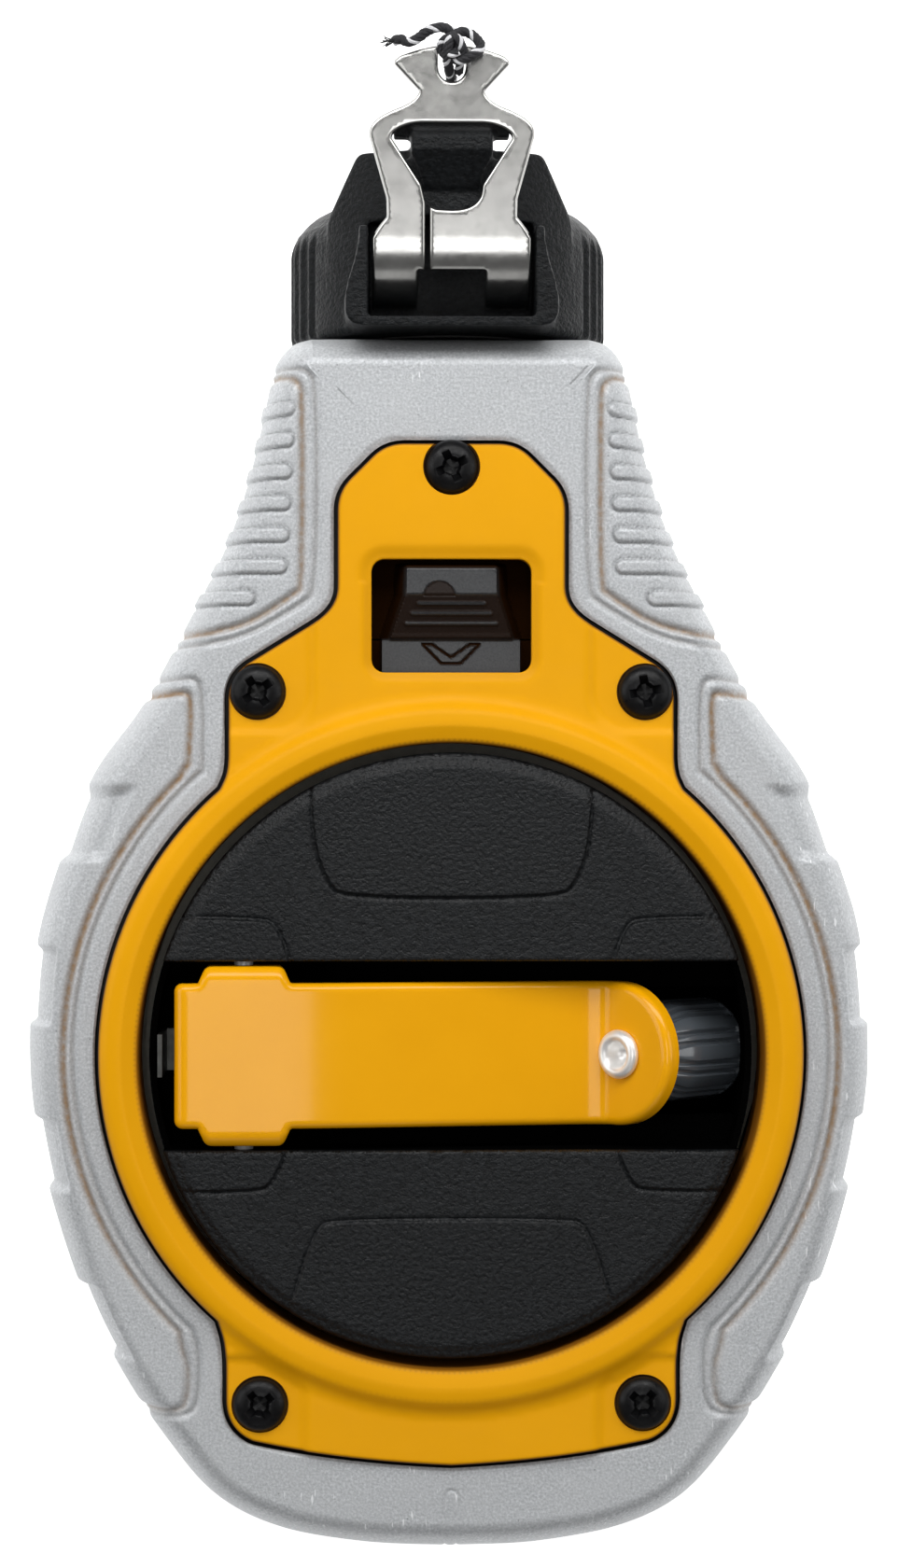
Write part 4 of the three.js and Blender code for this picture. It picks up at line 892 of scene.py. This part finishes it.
def crank_disc():
    """A cup with two half-moon tops, the walls and floor of the slot between them, and the lock's notches."""
    angle = math.degrees(math.asin(SLOT_HALF / DISC_R))
    parts = []
    for side in (1, -1):
        rim = arc((0, 0), DISC_R, angle, 180 - angle, 240) * (1, side)
        chord = spaced([rim[-1], rim[0]], 0.4)[1:-1]
        loop = np.vstack([rim, chord])[::side]
        field = np.vstack([lattice(-DISC_R, DISC_R, -DISC_R, DISC_R, 0.5), PAD_LINES])
        r = np.hypot(*field.T)
        field = field[(r < 37.6) & (side * field[:, 1] > SLOT_HALF + 0.55)]
        rings = np.vstack([ring_of(radius, 480, 0.3) for radius in
                           (37.9, 38.2, 38.45, 38.7, 38.95, 39.2, 39.4, 39.55, 39.65, 39.72)])
        rings = rings[side * rings[:, 1] > SLOT_HALF + 0.5]
        lips = np.vstack([np.stack([np.linspace(-x, x, 170), np.full(170, side * (SLOT_HALF + d))], axis=1)
                          for d, x in ((0.05, 37.6), (0.14, 37.5), (0.28, 37.4), (0.42, 37.2))])
        parts.append(plate_mesh([loop], np.vstack([field, rings, lips]), disc_height,
                                flat_at(51.4)))
    obj = raw_object("crank_disc_moulding", turned_mesh([
        (0, 51.6), (39.75, 51.6), (39.75, 29), (36.5, 29), (36.5, 50), (0, 50)], 240))
    wide = SLOT_HALF + 2
    walls = raw_object("walls", box_mesh(-39, -15, -wide, wide, 37, 50.5))
    combine(walls, "UNION", box_mesh(-15.5, 38.5, -wide, wide, 42, 50.6), box_mesh(14.5, 38.5, -10.1, 10.1, 29, 50.7))
    combine(walls, "INTERSECT", rod(39.2, 20, 60, 240))
    slot = raw_object("slot", box_mesh(-45, 45, -SLOT_HALF, SLOT_HALF, SLOT_FLOOR_Z, 49.6))
    combine(slot, "UNION", box_mesh(-45, -16.5, -SLOT_HALF, SLOT_HALF, 39, 49.5),
            box_mesh(16, 45, -8.6, 8.6, 30.4, 49.4))
    combine(slot, "INTERSECT", rod(38.9, 28, 60, 240))
    combine(slot, "UNION", box_mesh(-45, 45, -SLOT_HALF, SLOT_HALF, 49.3, 60))

    combine(obj, "UNION", data_of(walls), rod(6.5, 29, 43, 48), *parts)
    corners, faces = box_mesh(-2.3, 2.3, 38.2, 42, 45.9, 49.9)
    notches = []
    for i in range(LOCK_NOTCHES):
        cos, sin = math.cos(2 * math.pi * i / LOCK_NOTCHES), math.sin(2 * math.pi * i / LOCK_NOTCHES)
        if i not in NOTCHES_IN_SLOT:
            notches.append((np.array(corners) @ [(cos, sin, 0), (-sin, cos, 0), (0, 0, 1)], faces))
    combine(obj, "DIFFERENCE", data_of(slot), pin_bore(1.5, 14.4), rod(3.3, 20, 60, 32), several(notches))
    painted(obj, "shade", smooth_step(52.9, 51.5, places_of(obj)[:, 2]))
    return finished(obj, "black_plastic", "crank", ["crank_disc", "crank_tray", "crank_skirt"], smooth=32)


# ---------------------------------------------------------------- bent sheet: the arm and the hook
def bent_line(corners, reaches, step=0.15):
    """A line of straight runs with its corners eased."""
    corners = [np.array(c, float) for c in corners]
    points = [corners[:1]]
    for before, corner, after, reach in zip(corners, corners[1:], corners[2:], reaches):
        start = corner + reach * (before - corner) / np.linalg.norm(before - corner)
        end = corner + reach * (after - corner) / np.linalg.norm(after - corner)
        points.append(eased(start, corner, end))
    return spaced(np.vstack([*points, corners[-1:]]), step)


def onto_line(vertices, line):
    """Lays (across, along, height) vertices on a bent line, as (across, line's first, line's second)."""
    lengths = along(line)
    tangent = np.gradient(line, axis=0)
    tangent /= np.linalg.norm(tangent, axis=1)[:, None]
    across, s, height = np.asarray(vertices, float).T
    place = [np.interp(s, lengths, line[:, i]) for i in (0, 1)]
    normal = [np.interp(s, lengths, -tangent[:, 1]), np.interp(s, lengths, tangent[:, 0])]
    return np.stack([across, place[0] + height * normal[0], place[1] + height * normal[1]], axis=1)


def pin_bore(radius, reach):
    """A rod along the hinge's axis."""
    v, faces = rod(radius, -reach, reach, 32)
    return v[:, (0, 2, 1)] + (HINGE[0], 0, HINGE[1]), faces


TIP_ANGLE = math.radians(44)
ARM_SHEET = 1.4
ARM_LINE = bent_line([(-36.3, 50.4), (-36.3, 54.2), (-19.8, 54.2), (18.1, 48.6), (20.4, 48.69),
                      (20 + 13.2 * math.cos(TIP_ANGLE), 48.3 + 13.2 * math.sin(TIP_ANGLE))], [1.7, 6.5, 0.7, 0.7])
RIVET = np.array([22.302, 0, 50.523])
TIP_NORMAL = np.array([-math.sin(TIP_ANGLE), 0, math.cos(TIP_ANGLE)])
TIP_ALONG = np.array([math.cos(TIP_ANGLE), 0, math.sin(TIP_ANGLE)])


def arm_at(x):
    """How far along the arm's line a given x is."""
    level = ARM_LINE[:, 1] > 52 if x < -30 else ARM_LINE[:, 0] > -36.2
    return float(np.interp(x, ARM_LINE[level][:, 0], along(ARM_LINE)[level]))


def crank_arm():
    """The pressed arm, drawn flat with its ears and laid on its bent line."""
    ear0, ear1, rivet = arm_at(-32.6), arm_at(-21.6), arm_at(RIVET[0])
    half, ear = 9.5, 11.8
    right = np.vstack([
        [(0, 0), (half - 1.6, 0)], arc((half - 1.6, 1.6), 1.6, -80, 0, 7), [(half, ear0 - 0.6)],
        arc((ear - 1.2, ear0 + 1.2), 1.2, -75, 0, 7), arc((ear - 1.2, ear1 - 1.2), 1.2, 0, 75, 7),
        [(half, ear1 + 0.6)], [(half, rivet - 1.4)], arc((0, rivet - 1.4), half, 0, 90, 40),
    ])
    loop = mirrored(spaced(right, 0.35))
    hole = arc((0, rivet), 1.95, 0, 360, 41)[:-1]
    field = lattice(-12, 12, 0, rivet + 10, 0.55)
    field = field[np.hypot(*(field - (0, rivet)).T) > 2.2]
    depth = -signed_distance(field, loop)
    rings = np.vstack([widened(loop, -d) for d in (0.06, 0.18, 0.36, 0.6, 0.9, 1.2)])
    under = np.vstack([widened(loop, -d) for d in (1.2, 1.5)])

    def top(p):
        ears = smooth_step(9.4, 11.6, np.abs(p[:, 0]))
        return -0.9 * round_off(distance_to(p, loop, closed=True), 1.1) - 0.5 * ears**2

    def below(p):
        deep = distance_to(p, loop, closed=True) < 1.35
        in_ear = (np.abs(p[:, 0]) > 9.6) & (p[:, 1] > ear0) & (p[:, 1] < ear1)
        return np.where(in_ear, -7.6, np.where(deep, -2.3, -ARM_SHEET))

    sheet = plate_mesh([loop, hole], np.vstack([field[depth > 1.4], rings]), top, below,
                       np.vstack([field[depth > 1.7][::3], under]))
    across_first = onto_line(sheet[0], ARM_LINE)
    obj = raw_object("folding_arm", (across_first[:, (1, 0, 2)], sheet[1]))
    combine(obj, "DIFFERENCE", pin_bore(1.38, 15))
    return finished(obj, "yellow_paint", "arm", ["crank_arm"], smooth=34)


def on_tip(mesh_data):
    """Stands a body that is turned about Z on the arm's tip, on the rivet's axis."""
    v = np.asarray(mesh_data[0], float)
    return RIVET + v[:, :1] * TIP_ALONG + v[:, 1:2] * np.array([0, 1, 0]) + v[:, 2:] * TIP_NORMAL, mesh_data[1]


def knob_rivet():
    """A hollow rivet: a rolled head with a bowl, a plain shank and a flat foot."""
    profile = [(0, -1.3), (0.7, -1.2), (1.25, -0.7), (1.5, 0.1), (1.7, 0.8), (2, 1.12), (2.35, 1.25),
               (2.8, 1.15), (3.1, 0.85), (3.25, 0.45), (3.2, 0.15), (3.0, 0.02), (1.9, 0.02), (1.9, -16.3),
               (3.2, -16.3), (3.4, -16.5), (3.35, -16.9), (3.0, -17.1), (0, -17.1)]
    obj = raw_object("rolled_rivet", on_tip(turned_mesh(profile, 72)))
    return finished(obj, "bright_rivet", "arm", ["knob_rivet"], smooth=50)


def crank_knob():
    """A knob with ten pairs of flutes that fade out towards its neck. Its rows are (height, radius, flute depth)."""
    segments, flutes = 480, 10
    a = np.linspace(0, 2 * math.pi, segments, endpoint=False)
    turn = (a / (2 * math.pi) * flutes) % 1
    rows = [(-1.7, 2.2, 0), (-1.7, 3.9, 0), (-1.8, 4.25, 0), (-2.1, 4.5, 0), (-2.8, 4.8, 0.05), (-3.6, 5.1, 0.15),
            (-4.4, 5.4, 0.35), (-5.2, 5.7, 0.6), (-6.0, 6.0, 0.8), (-6.8, 6.3, 0.95), (-7.6, 6.55, 1), (-8.3, 6.72, 1),
            (-9.2, 6.78, 1), (-12, 6.78, 1), (-15, 6.78, 1), (-16.9, 6.78, 1), (-17.15, 6.74, 0.6),
            (-17.4, 6.76, 0.1), (-17.8, 6.7, 0), (-18.03, 6.5, 0), (-18.1, 6.2, 0), (-18.1, 4.5, 0), (-17.9, 4.25, 0),
            (-15.9, 4.2, 0), (-15.9, 2.2, 0)]
    grid = []
    for height, radius, strength in rows:
        spread = 0.075 + 0.11 * (1 - strength)
        off = 0.16 + 0.07 * (1 - strength)
        groove = sum(np.exp(-(((turn - 0.5 - side * off) / spread) ** 4)) for side in (1, -1))
        land = 0.12 * strength * bump_at(turn, 0.5, 0.09)
        r = radius - 0.6 * strength * np.clip(groove, 0, 1) - land
        grid.append(np.stack([r * np.cos(a), r * np.sin(a), np.full(segments, height)], axis=1))
    obj = raw_object("fluted_knob", on_tip((np.vstack(grid), band(len(rows), segments, wrap_rows=True))))
    return finished(obj, "gloss_black", "knob", ["crank_knob"], smooth=40)


def hinge_pin():
    """The arm's pin, its ends just showing beside the ears."""
    profile = [(0, -14.1), (0.7, -14.05), (1.1, -13.85), (1.25, -13.5), (1.25, 13.5), (1.1, 13.85), (0.7, 14.05),
               (0, 14.1)]
    vertices, faces = turned_mesh(profile, 40)
    vertices = vertices[:, (0, 2, 1)] + (HINGE[0], 0, HINGE[1])
    return finished(raw_object("hinge_pin", (vertices, faces)), "bright_rivet", "crank", ["arm_hinge_pin"])


# ---------------------------------------------------------------- slider
ARROW_OUTER = [(3.75, 54.0), (1.3, 51.5), (0, 51.5)]
ARROW_INNER = [(3.75, 54.0), (2.5, 54.0), (0, 52.3)]


THUMB_RIDGES = ((59.3, 4.3), (58.0, 5.1), (56.7, 5.9))  # the middle and half the length of each


def slider_marks(p):
    """Half the plateau's width, and the distances from each ridge, the dimple's middle and the arrow."""
    folded = folded_across(p)
    half = np.interp(p[:, 1], [54.9, 60.4, 64.6], [8.0, 6.1, 5.9])
    ridges = [distance_to(folded, [(0, middle), (reach, middle)]) for middle, reach in THUMB_RIDGES]
    dimple = np.where(p[:, 1] > 60.2, np.hypot(p[:, 0] + 1.6, p[:, 1] - 60.1), np.inf)
    return half, ridges, dimple, np.minimum(distance_to(folded, ARROW_OUTER), distance_to(folded, ARROW_INNER))


def slider_height(p):
    """The slider's front: a low foot with the arrow, a slope with three ridges and a plateau."""
    x, y = np.abs(p[:, 0]), p[:, 1]
    half, ridges, dimple, arrow = slider_marks(p)
    top = np.interp(y, [54.5, 54.9, 55.6, 60.1, 60.6, 63.7, 64.0, 64.4, 64.7],
                    [49.6, 50.25, 50.4, 52.35, 52.8, 52.8, 52.65, 51.6, 47.6])
    side = np.clip((half + 1.5 - x) / 1.6, 0, 1)
    base = 49.6 - 2.2 * smooth_step(54.5, 54.9, y)
    z = base + (top - base) * side
    z += sum(0.34 * smooth_step(0.42, 0.12, ridge) for ridge in ridges) - 0.2 * smooth_step(2.2, 2, dimple)
    return z - 0.22 * smooth_step(0.26, 0.1, arrow) - 1.6 * smooth_step(9.1, 9.3, x) * (y < 54.7)


def slider_shade(p):
    """The painted shade on the slider: beside and above the thumb, near its sides, on the slope between the ridges, in
    the dimple and along the arrow's lines.
    """
    x, y = np.abs(p[:, 0]), p[:, 1]
    half, ridges, dimple, arrow = slider_marks(p)
    beside = smooth_step(half - 0.1, half + 0.5, x) * (y > 54.7)
    above = smooth_step(63.7, 64.2, y)
    slope = 0.75 * smooth_step(54.6, 54.9, y) * smooth_step(60.5, 60.1, y)
    for ridge in ridges:
        slope = slope * smooth_step(0.1, 0.35, ridge)
    mark = smooth_step(0.22, 0.12, arrow) * (y < 54.4)
    return np.max([beside, above, slope, 0.7 * smooth_step(2.2, 2, dimple), mark, smooth_step(9.1, 9.3, x)], axis=0)


def lock_slider():
    """The slider with the nose that enters the crank's notches."""
    loop = rectangle(-11.5, 11.5, 49.2, 66.9, 0.8, 0.3)
    x, y = np.meshgrid(np.arange(-11.3, 11.4, 0.17), np.arange(49.5, 66.7, 0.14))
    field = np.stack([x.ravel(), y.ravel()], axis=1)
    field = field[-signed_distance(field, loop) > 0.3]
    obj = raw_object("lock_slider_moulding", plate_mesh([loop], field, slider_height, flat_at(46.4)))
    combine(obj, "UNION", box_mesh(-1.6, 1.6, 43.2, 49.5, 46.6, 49.4))
    painted(obj, "shade", slider_shade(places_of(obj)[:, :2]))
    return finished(obj, "grey_plastic", "slider", ["lock_slider"], smooth=35)


# ---------------------------------------------------------------- nose cap
FROM_SIDE = (1, 2, 0)  # a prism's axes where its loop is drawn as (y, z)


def prism(loop, low, high, axes=(0, 1, 2)):
    """A loop carried from one height to another. axes says where its x, y and height go."""
    loop = np.asarray(loop, float)
    count = len(loop)
    vertices = np.vstack([np.c_[loop, np.full(count, low)], np.c_[loop, np.full(count, high)]])
    faces = [list(range(count))[::-1], list(range(count, 2 * count))] + band(2, count)
    placed = np.empty_like(vertices)
    for source, target in enumerate(axes):
        placed[:, target] = vertices[:, source]
    return placed, faces


def on_cap(mesh_data):
    """Stands a body that is turned about Z along the cap's axis, its height becoming y."""
    v = np.asarray(mesh_data[0], float)
    return np.stack([v[:, 0], v[:, 2], v[:, 1] + CAP_AXIS_Z], axis=1), mesh_data[1]


def cap_rod(radius, low, high, segments=64):
    return on_cap(rod(radius, low, high, segments))


def nose_cap():
    """The ribbed ring, its domed shoulder, the nose, the hook's holder and the tongue that the hook lies on."""
    a = np.linspace(0, 2 * math.pi, 720, endpoint=False)
    off_side = np.abs(np.degrees(np.arctan2(np.sin(a), np.abs(np.cos(a)))))
    rib = smooth_step(0.12, 0.28, np.abs(((off_side / 8) % 1) - 0.5)) * (off_side < 33)
    r = CAP_R - 0.62 * rib
    ribbed = prism(np.stack([r * np.cos(a), r * np.sin(a) + CAP_AXIS_Z], axis=1), 95.4, 110.6, (0, 2, 1))
    ends = on_cap(turned_mesh([(0, 95.4), (20.9, 95.4), (21.6, 96.2), (21.6, 107.4), (21.2, 109), (20.5, 110.5),
                               (0, 110.6)], 120))
    obj = combine(raw_object("nose_cap_moulding", ribbed), "INTERSECT", ends)
    shoulder = on_cap(turned_mesh([(0, 106), (20.9, 106), (20.85, 109), (20.3, 110.6), (19.4, 111.7), (18.2, 112.7),
                                   (16.9, 113.4), (15.4, 113.8), (0, 113.9)], 120))
    front = mirrored([(0, 104), (16.4, 104), (16.4, 110.2), (16, 111.6), (12.7, 118.4), (12.3, 119),
                      (11.7, NOSE_TIP_Y), (0, NOSE_TIP_Y)])
    side = [(104, 8.6), (110.6, 10.4), (118.6, 16.6), (NOSE_TIP_Y, 17.4), (NOSE_TIP_Y, 49.3), (118.6, 50), (104, 50)]
    nose = shared(prism(front, 0, 50), prism(side, -20, 20, FROM_SIDE), cap_rod(21.6, 100, 125, 96))
    holder = mirrored([(0, 95.4), (11.9, 95.4), (13, 95.7), (13.7, 96.4), (14, 97.4), (14, 99),
                       (13.5, 101.4), (12.7, 104), (12.2, 106.4), (12.1, 108.5), (0, 108.5)])
    tongue = mirrored([(0, 113.6), (3.6, 113.6), (4.4, 116), (5.35, 117.9), (5.35, 120.9), (4.9, 121.4),
                       (0, 121.4)])
    tongue_side = [(113, 49), (121.6, 49), (121.6, 53.6), (121.1, 54.4), (120.5, 56.1), (120, 56.4), (118.2, 56.4),
                   (117.4, 55.9), (113, 53.2)]
    apron = mirrored([(0, 109.4), (4.6, 109.4), (6.6, 117.4), (0, 117.4)])
    apron_side = [(109, 46), (109, 52.9), (117.4, 53.3), (117.4, 46)]
    combine(obj, "UNION", shoulder, nose, prism(holder, 40, 55.5),
            shared(prism(tongue, 49, 57), prism(tongue_side, -8, 8, FROM_SIDE)),
            shared(prism(apron, 46, 57), prism(apron_side, -8, 8, FROM_SIDE)),
            box_mesh(-7.6, 7.6, 120.3, 122.5, 50.6, 53.5), box_mesh(-5.3, 5.3, 118, 122.4, 49, 53.5))
    entry = raw_object("entry", box_mesh(-15, 15, 90, 100, -4.8, 4.8))
    entry.data.transform(Matrix.Rotation(math.radians(-60), 4, "Y"))
    entry.data.transform(Matrix.Translation((0, 0, CAP_AXIS_Z * MM)))
    combine(entry, "INTERSECT", cap_rod(15, 90, 100))
    combine(obj, "DIFFERENCE", box_mesh(-10.9, 10.9, 96.6, 110, 45.4, 60), cap_rod(15.4, 90, 97.4),
            cap_rod(13.5, 90, 104.2), cap_rod(15, 98.8, 102.2), data_of(entry), cap_rod(7.3, 103, 113),
            cap_rod(2.5, 112, 130))
    remesh = obj.modifiers.new("remesh", "REMESH")
    remesh.mode = "VOXEL"
    remesh.voxel_size = 0.3 * MM
    smooth = obj.modifiers.new("smooth", "SMOOTH")
    smooth.factor = 0.5
    smooth.iterations = 5
    settle(obj)
    return finished(obj, "cap_plastic", "cap", ["nose_cap"], smooth=60)


def eyelet():
    """A steel tube flared over the nose's tip."""
    tip = NOSE_TIP_Y
    profile = [(1.1, 113.2), (2.1, 113.2), (2.1, tip + 0.3), (3.3, tip + 0.3), (3.6, tip + 0.5), (3.6, tip + 0.8),
               (3.3, tip + 1.1), (2.4, tip + 1.2), (1.6, tip + 1), (1.2, tip + 0.5), (1.1, tip - 0.1)]
    return finished(raw_object("flared_eyelet", on_cap(turned_mesh(profile, 64))), "plain_steel", "cap",
                    ["line_eyelet"], smooth=45)


# ---------------------------------------------------------------- hook
CURL_R = 8.7
CURL_LENGTH = CURL_R * math.pi / 2
CURL_LINE = np.vstack([
    arc((107, HOOK_FRONT_Z - CURL_R), CURL_R, 180, 90, 90),
    np.stack([np.linspace(107.1, 134, 120), np.full(120, HOOK_FRONT_Z)], axis=1),
])


def hook_loop():
    """The hook's flat blank: across, and along from the curl's edge. The slit makes it one loop."""
    def curve(start, control, end, count=10):
        return eased(start, control, end, count)

    shift = np.array([0, CURL_LENGTH - 107])
    head = np.vstack([
        [(10.4, 106.9)], curve((10.4, 106.9), (9.6, 108.4), (8.5, 109.6)), [(8.55, 112)],
        curve((10.8, 120.1), (11.1, 122.0), (8.2, 123.3)), curve((7.6, 123.6), (4.6, 124.6), (4.3, 126)),
        [(7.55, 129.5), (7.55, 129.95)], curve((6.8, 130.6), (4.4, 131.6), (1.9, 131.95)),
    ]) + shift
    slot = np.vstack([[(1.75, 131.6)], arc((0, 128.95), 1.75, 0, -90, 10)]) + shift
    right = np.vstack([[(4.4, 0), (9.6, 0)], arc((9.6, 0.8), 0.8, -60, 0, 4), head, slot])
    left = right[:-1][::-1] * (-1, 1)
    window = np.vstack([
        [(-3.5, 111.5), (-4, 113.8)], [(-7.9, 119.9)], curve((-7.7, 120.4), (-6.4, 121.7), (-4, 121.8), 8),
        curve((4, 121.8), (6.4, 121.7), (7.7, 120.4), 8), [(7.9, 119.9)],
        [(4, 113.8)], curve((4, 113.6), (3.9, 110.5), (0, 110.5)), [(-2.0, 110.6), (-2.9, 110.9)],
    ]) + shift
    slit = [(-4.4, 9.1), (-3.5, 9.1)]
    back = [(-2.9, 9.1), (4.4, 9.1)]
    loop = np.vstack([right, left, slit, window, back])
    closed = spaced(np.vstack([loop, loop[:1]]), 0.3)[:-1]
    return rounded(closed, 1, closed=True)


def line_hook():
    """The hook's sheet, drawn flat and laid round its curl."""
    loop = hook_loop()
    field = lattice(-11, 11, 0, 40, 0.5)
    depth = -signed_distance(field, loop)
    ring_points = np.vstack([widened(loop, -d) for d in (0.08, 0.2, 0.36)])
    ring_points = ring_points[signed_distance(ring_points, loop) < -0.05]

    def edge(p):
        return 0.9 * round_off(distance_to(p, loop, closed=True), 0.4)

    extra = np.vstack([field[depth > 0.5], ring_points])
    sheet = plate_mesh([loop], extra, lambda p: -edge(p), lambda p: edge(p) - HOOK_SHEET, extra)
    obj = raw_object("bent_hook", (onto_line(sheet[0], CURL_LINE), sheet[1]))
    return finished(obj, "stainless", "hook", ["line_hook"], smooth=48)


# ---------------------------------------------------------------- line
def braid(name, points, radius, body, nodes, pitch=3.2, strands=5):
    """A twisted line: dark strands with one pale tracer among them."""
    route = spaced(spline(points, 10), 0.16)
    side, other = frames_along(route)
    s = along(route)
    dark, pale = [], []
    for k in range(strands):
        turn = 2 * math.pi * (k / strands + s / pitch)
        wobble = 1 + 0.08 * np.sin(3.1 * turn + k)
        off = 0.56 * radius * wobble
        centre = route + (off * np.cos(turn))[:, None] * side + (off * np.sin(turn))[:, None] * other
        (pale if k == 0 else dark).append(tube_mesh(centre, 0.52 * radius, 8))
    finished(raw_object(name + "_dark", several(dark)), "braided_line", body, nodes)
    tracer = finished(raw_object(name + "_tracer", several(pale)), "white_tracer", body, nodes)


def line():
    """The stretch of line from the eyelet to the hook, its knot with a second wrap, and the frayed end."""
    braid("line_rise", [(0, 104.6, 28.5), (0, 112, 28.5), (0, 119, 28.5), (0, 124.4, 28.9), (0, 127.2, 31.5),
                        (0, 128.2, 37), (0, 128.3, 45), (0, 128.3, 52.4)], 0.7, "cap", ["line_outer_run"])
    knot = [
        (0, 128.3, 52.3), (-0.2, 128.5, 53.6), (-0.4, 128.9, 55.2), (-0.7, 130.2, 57.2), (-0.4, 131.9, 57.9),
        (0.3, 132.9, 57.2), (1.7, 133.4, 56.7), (3.1, 132.5, 56.9), (3.7, 131.2, 57.3), (2.5, 130.1, 57.6),
        (0.9, 129.6, 57.2), (-0.1, 130.3, 56.5), (0.2, 131.7, 56.2), (0.1, 133.1, 56.7), (-1.3, 133.9, 57.0),
        (-3.1, 133.5, 56.9), (-4.4, 132.6, 56.6), (-5.6, 132.1, 56.3), (-6.8, 132.5, 56.1), (-7.6, 132.2, 56.2),
    ]
    braid("line_knot", knot, 0.62, "hook", ["line_knot", "line_tail"])
    wrap = [(0.9, 128.6, 54.2), (1.0, 129.3, 56.2), (1.3, 131.0, 57.7), (0.6, 132.3, 58.0), (-0.7, 132.4, 57.6),
            (-1.5, 131.6, 56.9), (-1.2, 130.6, 56.6), (-0.2, 130.2, 57.6), (0.7, 130.6, 58.0)]
    braid("line_wrap", wrap, 0.55, "hook", ["line_knot"])
    rng = np.random.default_rng(7)
    fibres = []
    for k in range(16):
        start = np.array([-7.5, 132.2, 56.2]) + rng.normal(0, 0.18, 3)  # just inside the knot's last point
        heading = np.array([-1.0, -0.1 + rng.normal(0, 0.55), rng.normal(0, 0.3)])
        length = rng.uniform(0.7, 1.7)
        bow = rng.normal(0, 0.25, 3)
        t = np.linspace(0, 1, 6)[:, None]
        fibres.append(tube_mesh(start + heading * length * t + bow * t**2, 0.06, 5))
    finished(raw_object("frayed_fibres", several(fibres)), "braided_line", "hook", ["line_tail"])


# ---------------------------------------------------------------- carried-over CAD nodes
def carried_over():
    """Gives every CAD node the finish of its own slot. Those that a piece stands for stay hidden."""
    for part in frame["record"]["subparts"]:
        node = frame["nodes"][part["node"]]
        node.data.materials.clear()
        node.data.materials.append(FINISHES[part["material_slot"]])


# ---------------------------------------------------------------- stage, camera, lights
def stage():
    """A pale floor that glows a little, so that it comes out white."""
    floor = raw_object("floor", ([(-900, -900, -0.4), (900, -900, -0.4), (900, 900, -0.4), (-900, 900, -0.4)],
                                 [(0, 1, 2, 3)]))
    s = Shader("floor_white", (0.93, 0.93, 0.93), 0.7, specular=0.1)
    s.colour(s.ramp(s.noise(60, 2), (0.4, 0.92), (0.6, 0.94)))
    s.out.inputs["Emission Color"].default_value = (1, 1, 1, 1)
    s.out.inputs["Emission Strength"].default_value = 0.7
    floor.data.materials.append(FINISHES["floor_white"])


def camera():
    """Straight down on the front, from a little to the left of the crank's axis."""
    data = bpy.data.cameras.new("camera")
    data.sensor_fit = "VERTICAL"
    data.sensor_height = 36
    data.lens = 85.39
    data.clip_start = 0.01
    made = bpy.data.objects.new("camera", data)
    place = Vector((-0.0117, 0.0356, 0.540))
    back = (place - Vector((0.0001, 0.0356, 0.034))).normalized()
    right = Vector((0, 1, 0)).cross(back)
    made.matrix_world = Matrix.Translation(place) @ Matrix((right, back.cross(right), back)).transposed().to_4x4()
    bpy.context.scene.collection.objects.link(made)
    bpy.context.scene.camera = made


def light(name, place, aim, size, size_y, power):
    data = bpy.data.lights.new(name, "AREA")
    data.shape = "RECTANGLE"
    data.size, data.size_y, data.energy = size, size_y, power
    made = bpy.data.objects.new(name, data)
    made.location = place
    made.rotation_euler = (Vector(aim) - Vector(place)).to_track_quat("-Z", "Y").to_euler()
    bpy.context.scene.collection.objects.link(made)


def lights():
    """Six soft panels, then an even sky. Each panel has a place, an aim, two sides in metres and its watts."""
    light("overhead", (0.0, 0.0, 1.1), (0, 0.0, 0.05), 0.32, 0.5, 1.45)
    light("left", (-0.8, 0.2, 0.5), (0, 0.03, 0.03), 0.6, 0.6, 2.1)
    light("right", (0.8, 0.15, 0.5), (0, 0.03, 0.03), 0.6, 0.6, 1.7)
    light("near_top", (0.0, 0.38, 0.38), (0, 0.05, 0.03), 0.7, 0.2, 1.9)
    light("top", (0.0, 0.62, 0.55), (0, 0.03, 0.03), 0.8, 0.4, 0.7)
    light("foot", (0.0, -0.9, 0.6), (0, 0.05, 0.03), 0.8, 0.4, 0.4)
    world = bpy.data.worlds.new("world")
    world.use_nodes = True
    world.node_tree.nodes["Background"].inputs["Color"].default_value = (1, 1, 1, 1)
    world.node_tree.nodes["Background"].inputs["Strength"].default_value = 0.13
    bpy.context.scene.world = world
    bpy.context.scene.view_settings.view_transform = "Standard"


camera()
carried_over()
case()
cover()
cover_screws()
crank_disc()
crank_arm()
knob_rivet()
crank_knob()
hinge_pin()
lock_slider()
nose_cap()
eyelet()
line_hook()
line()
stage()
lights()
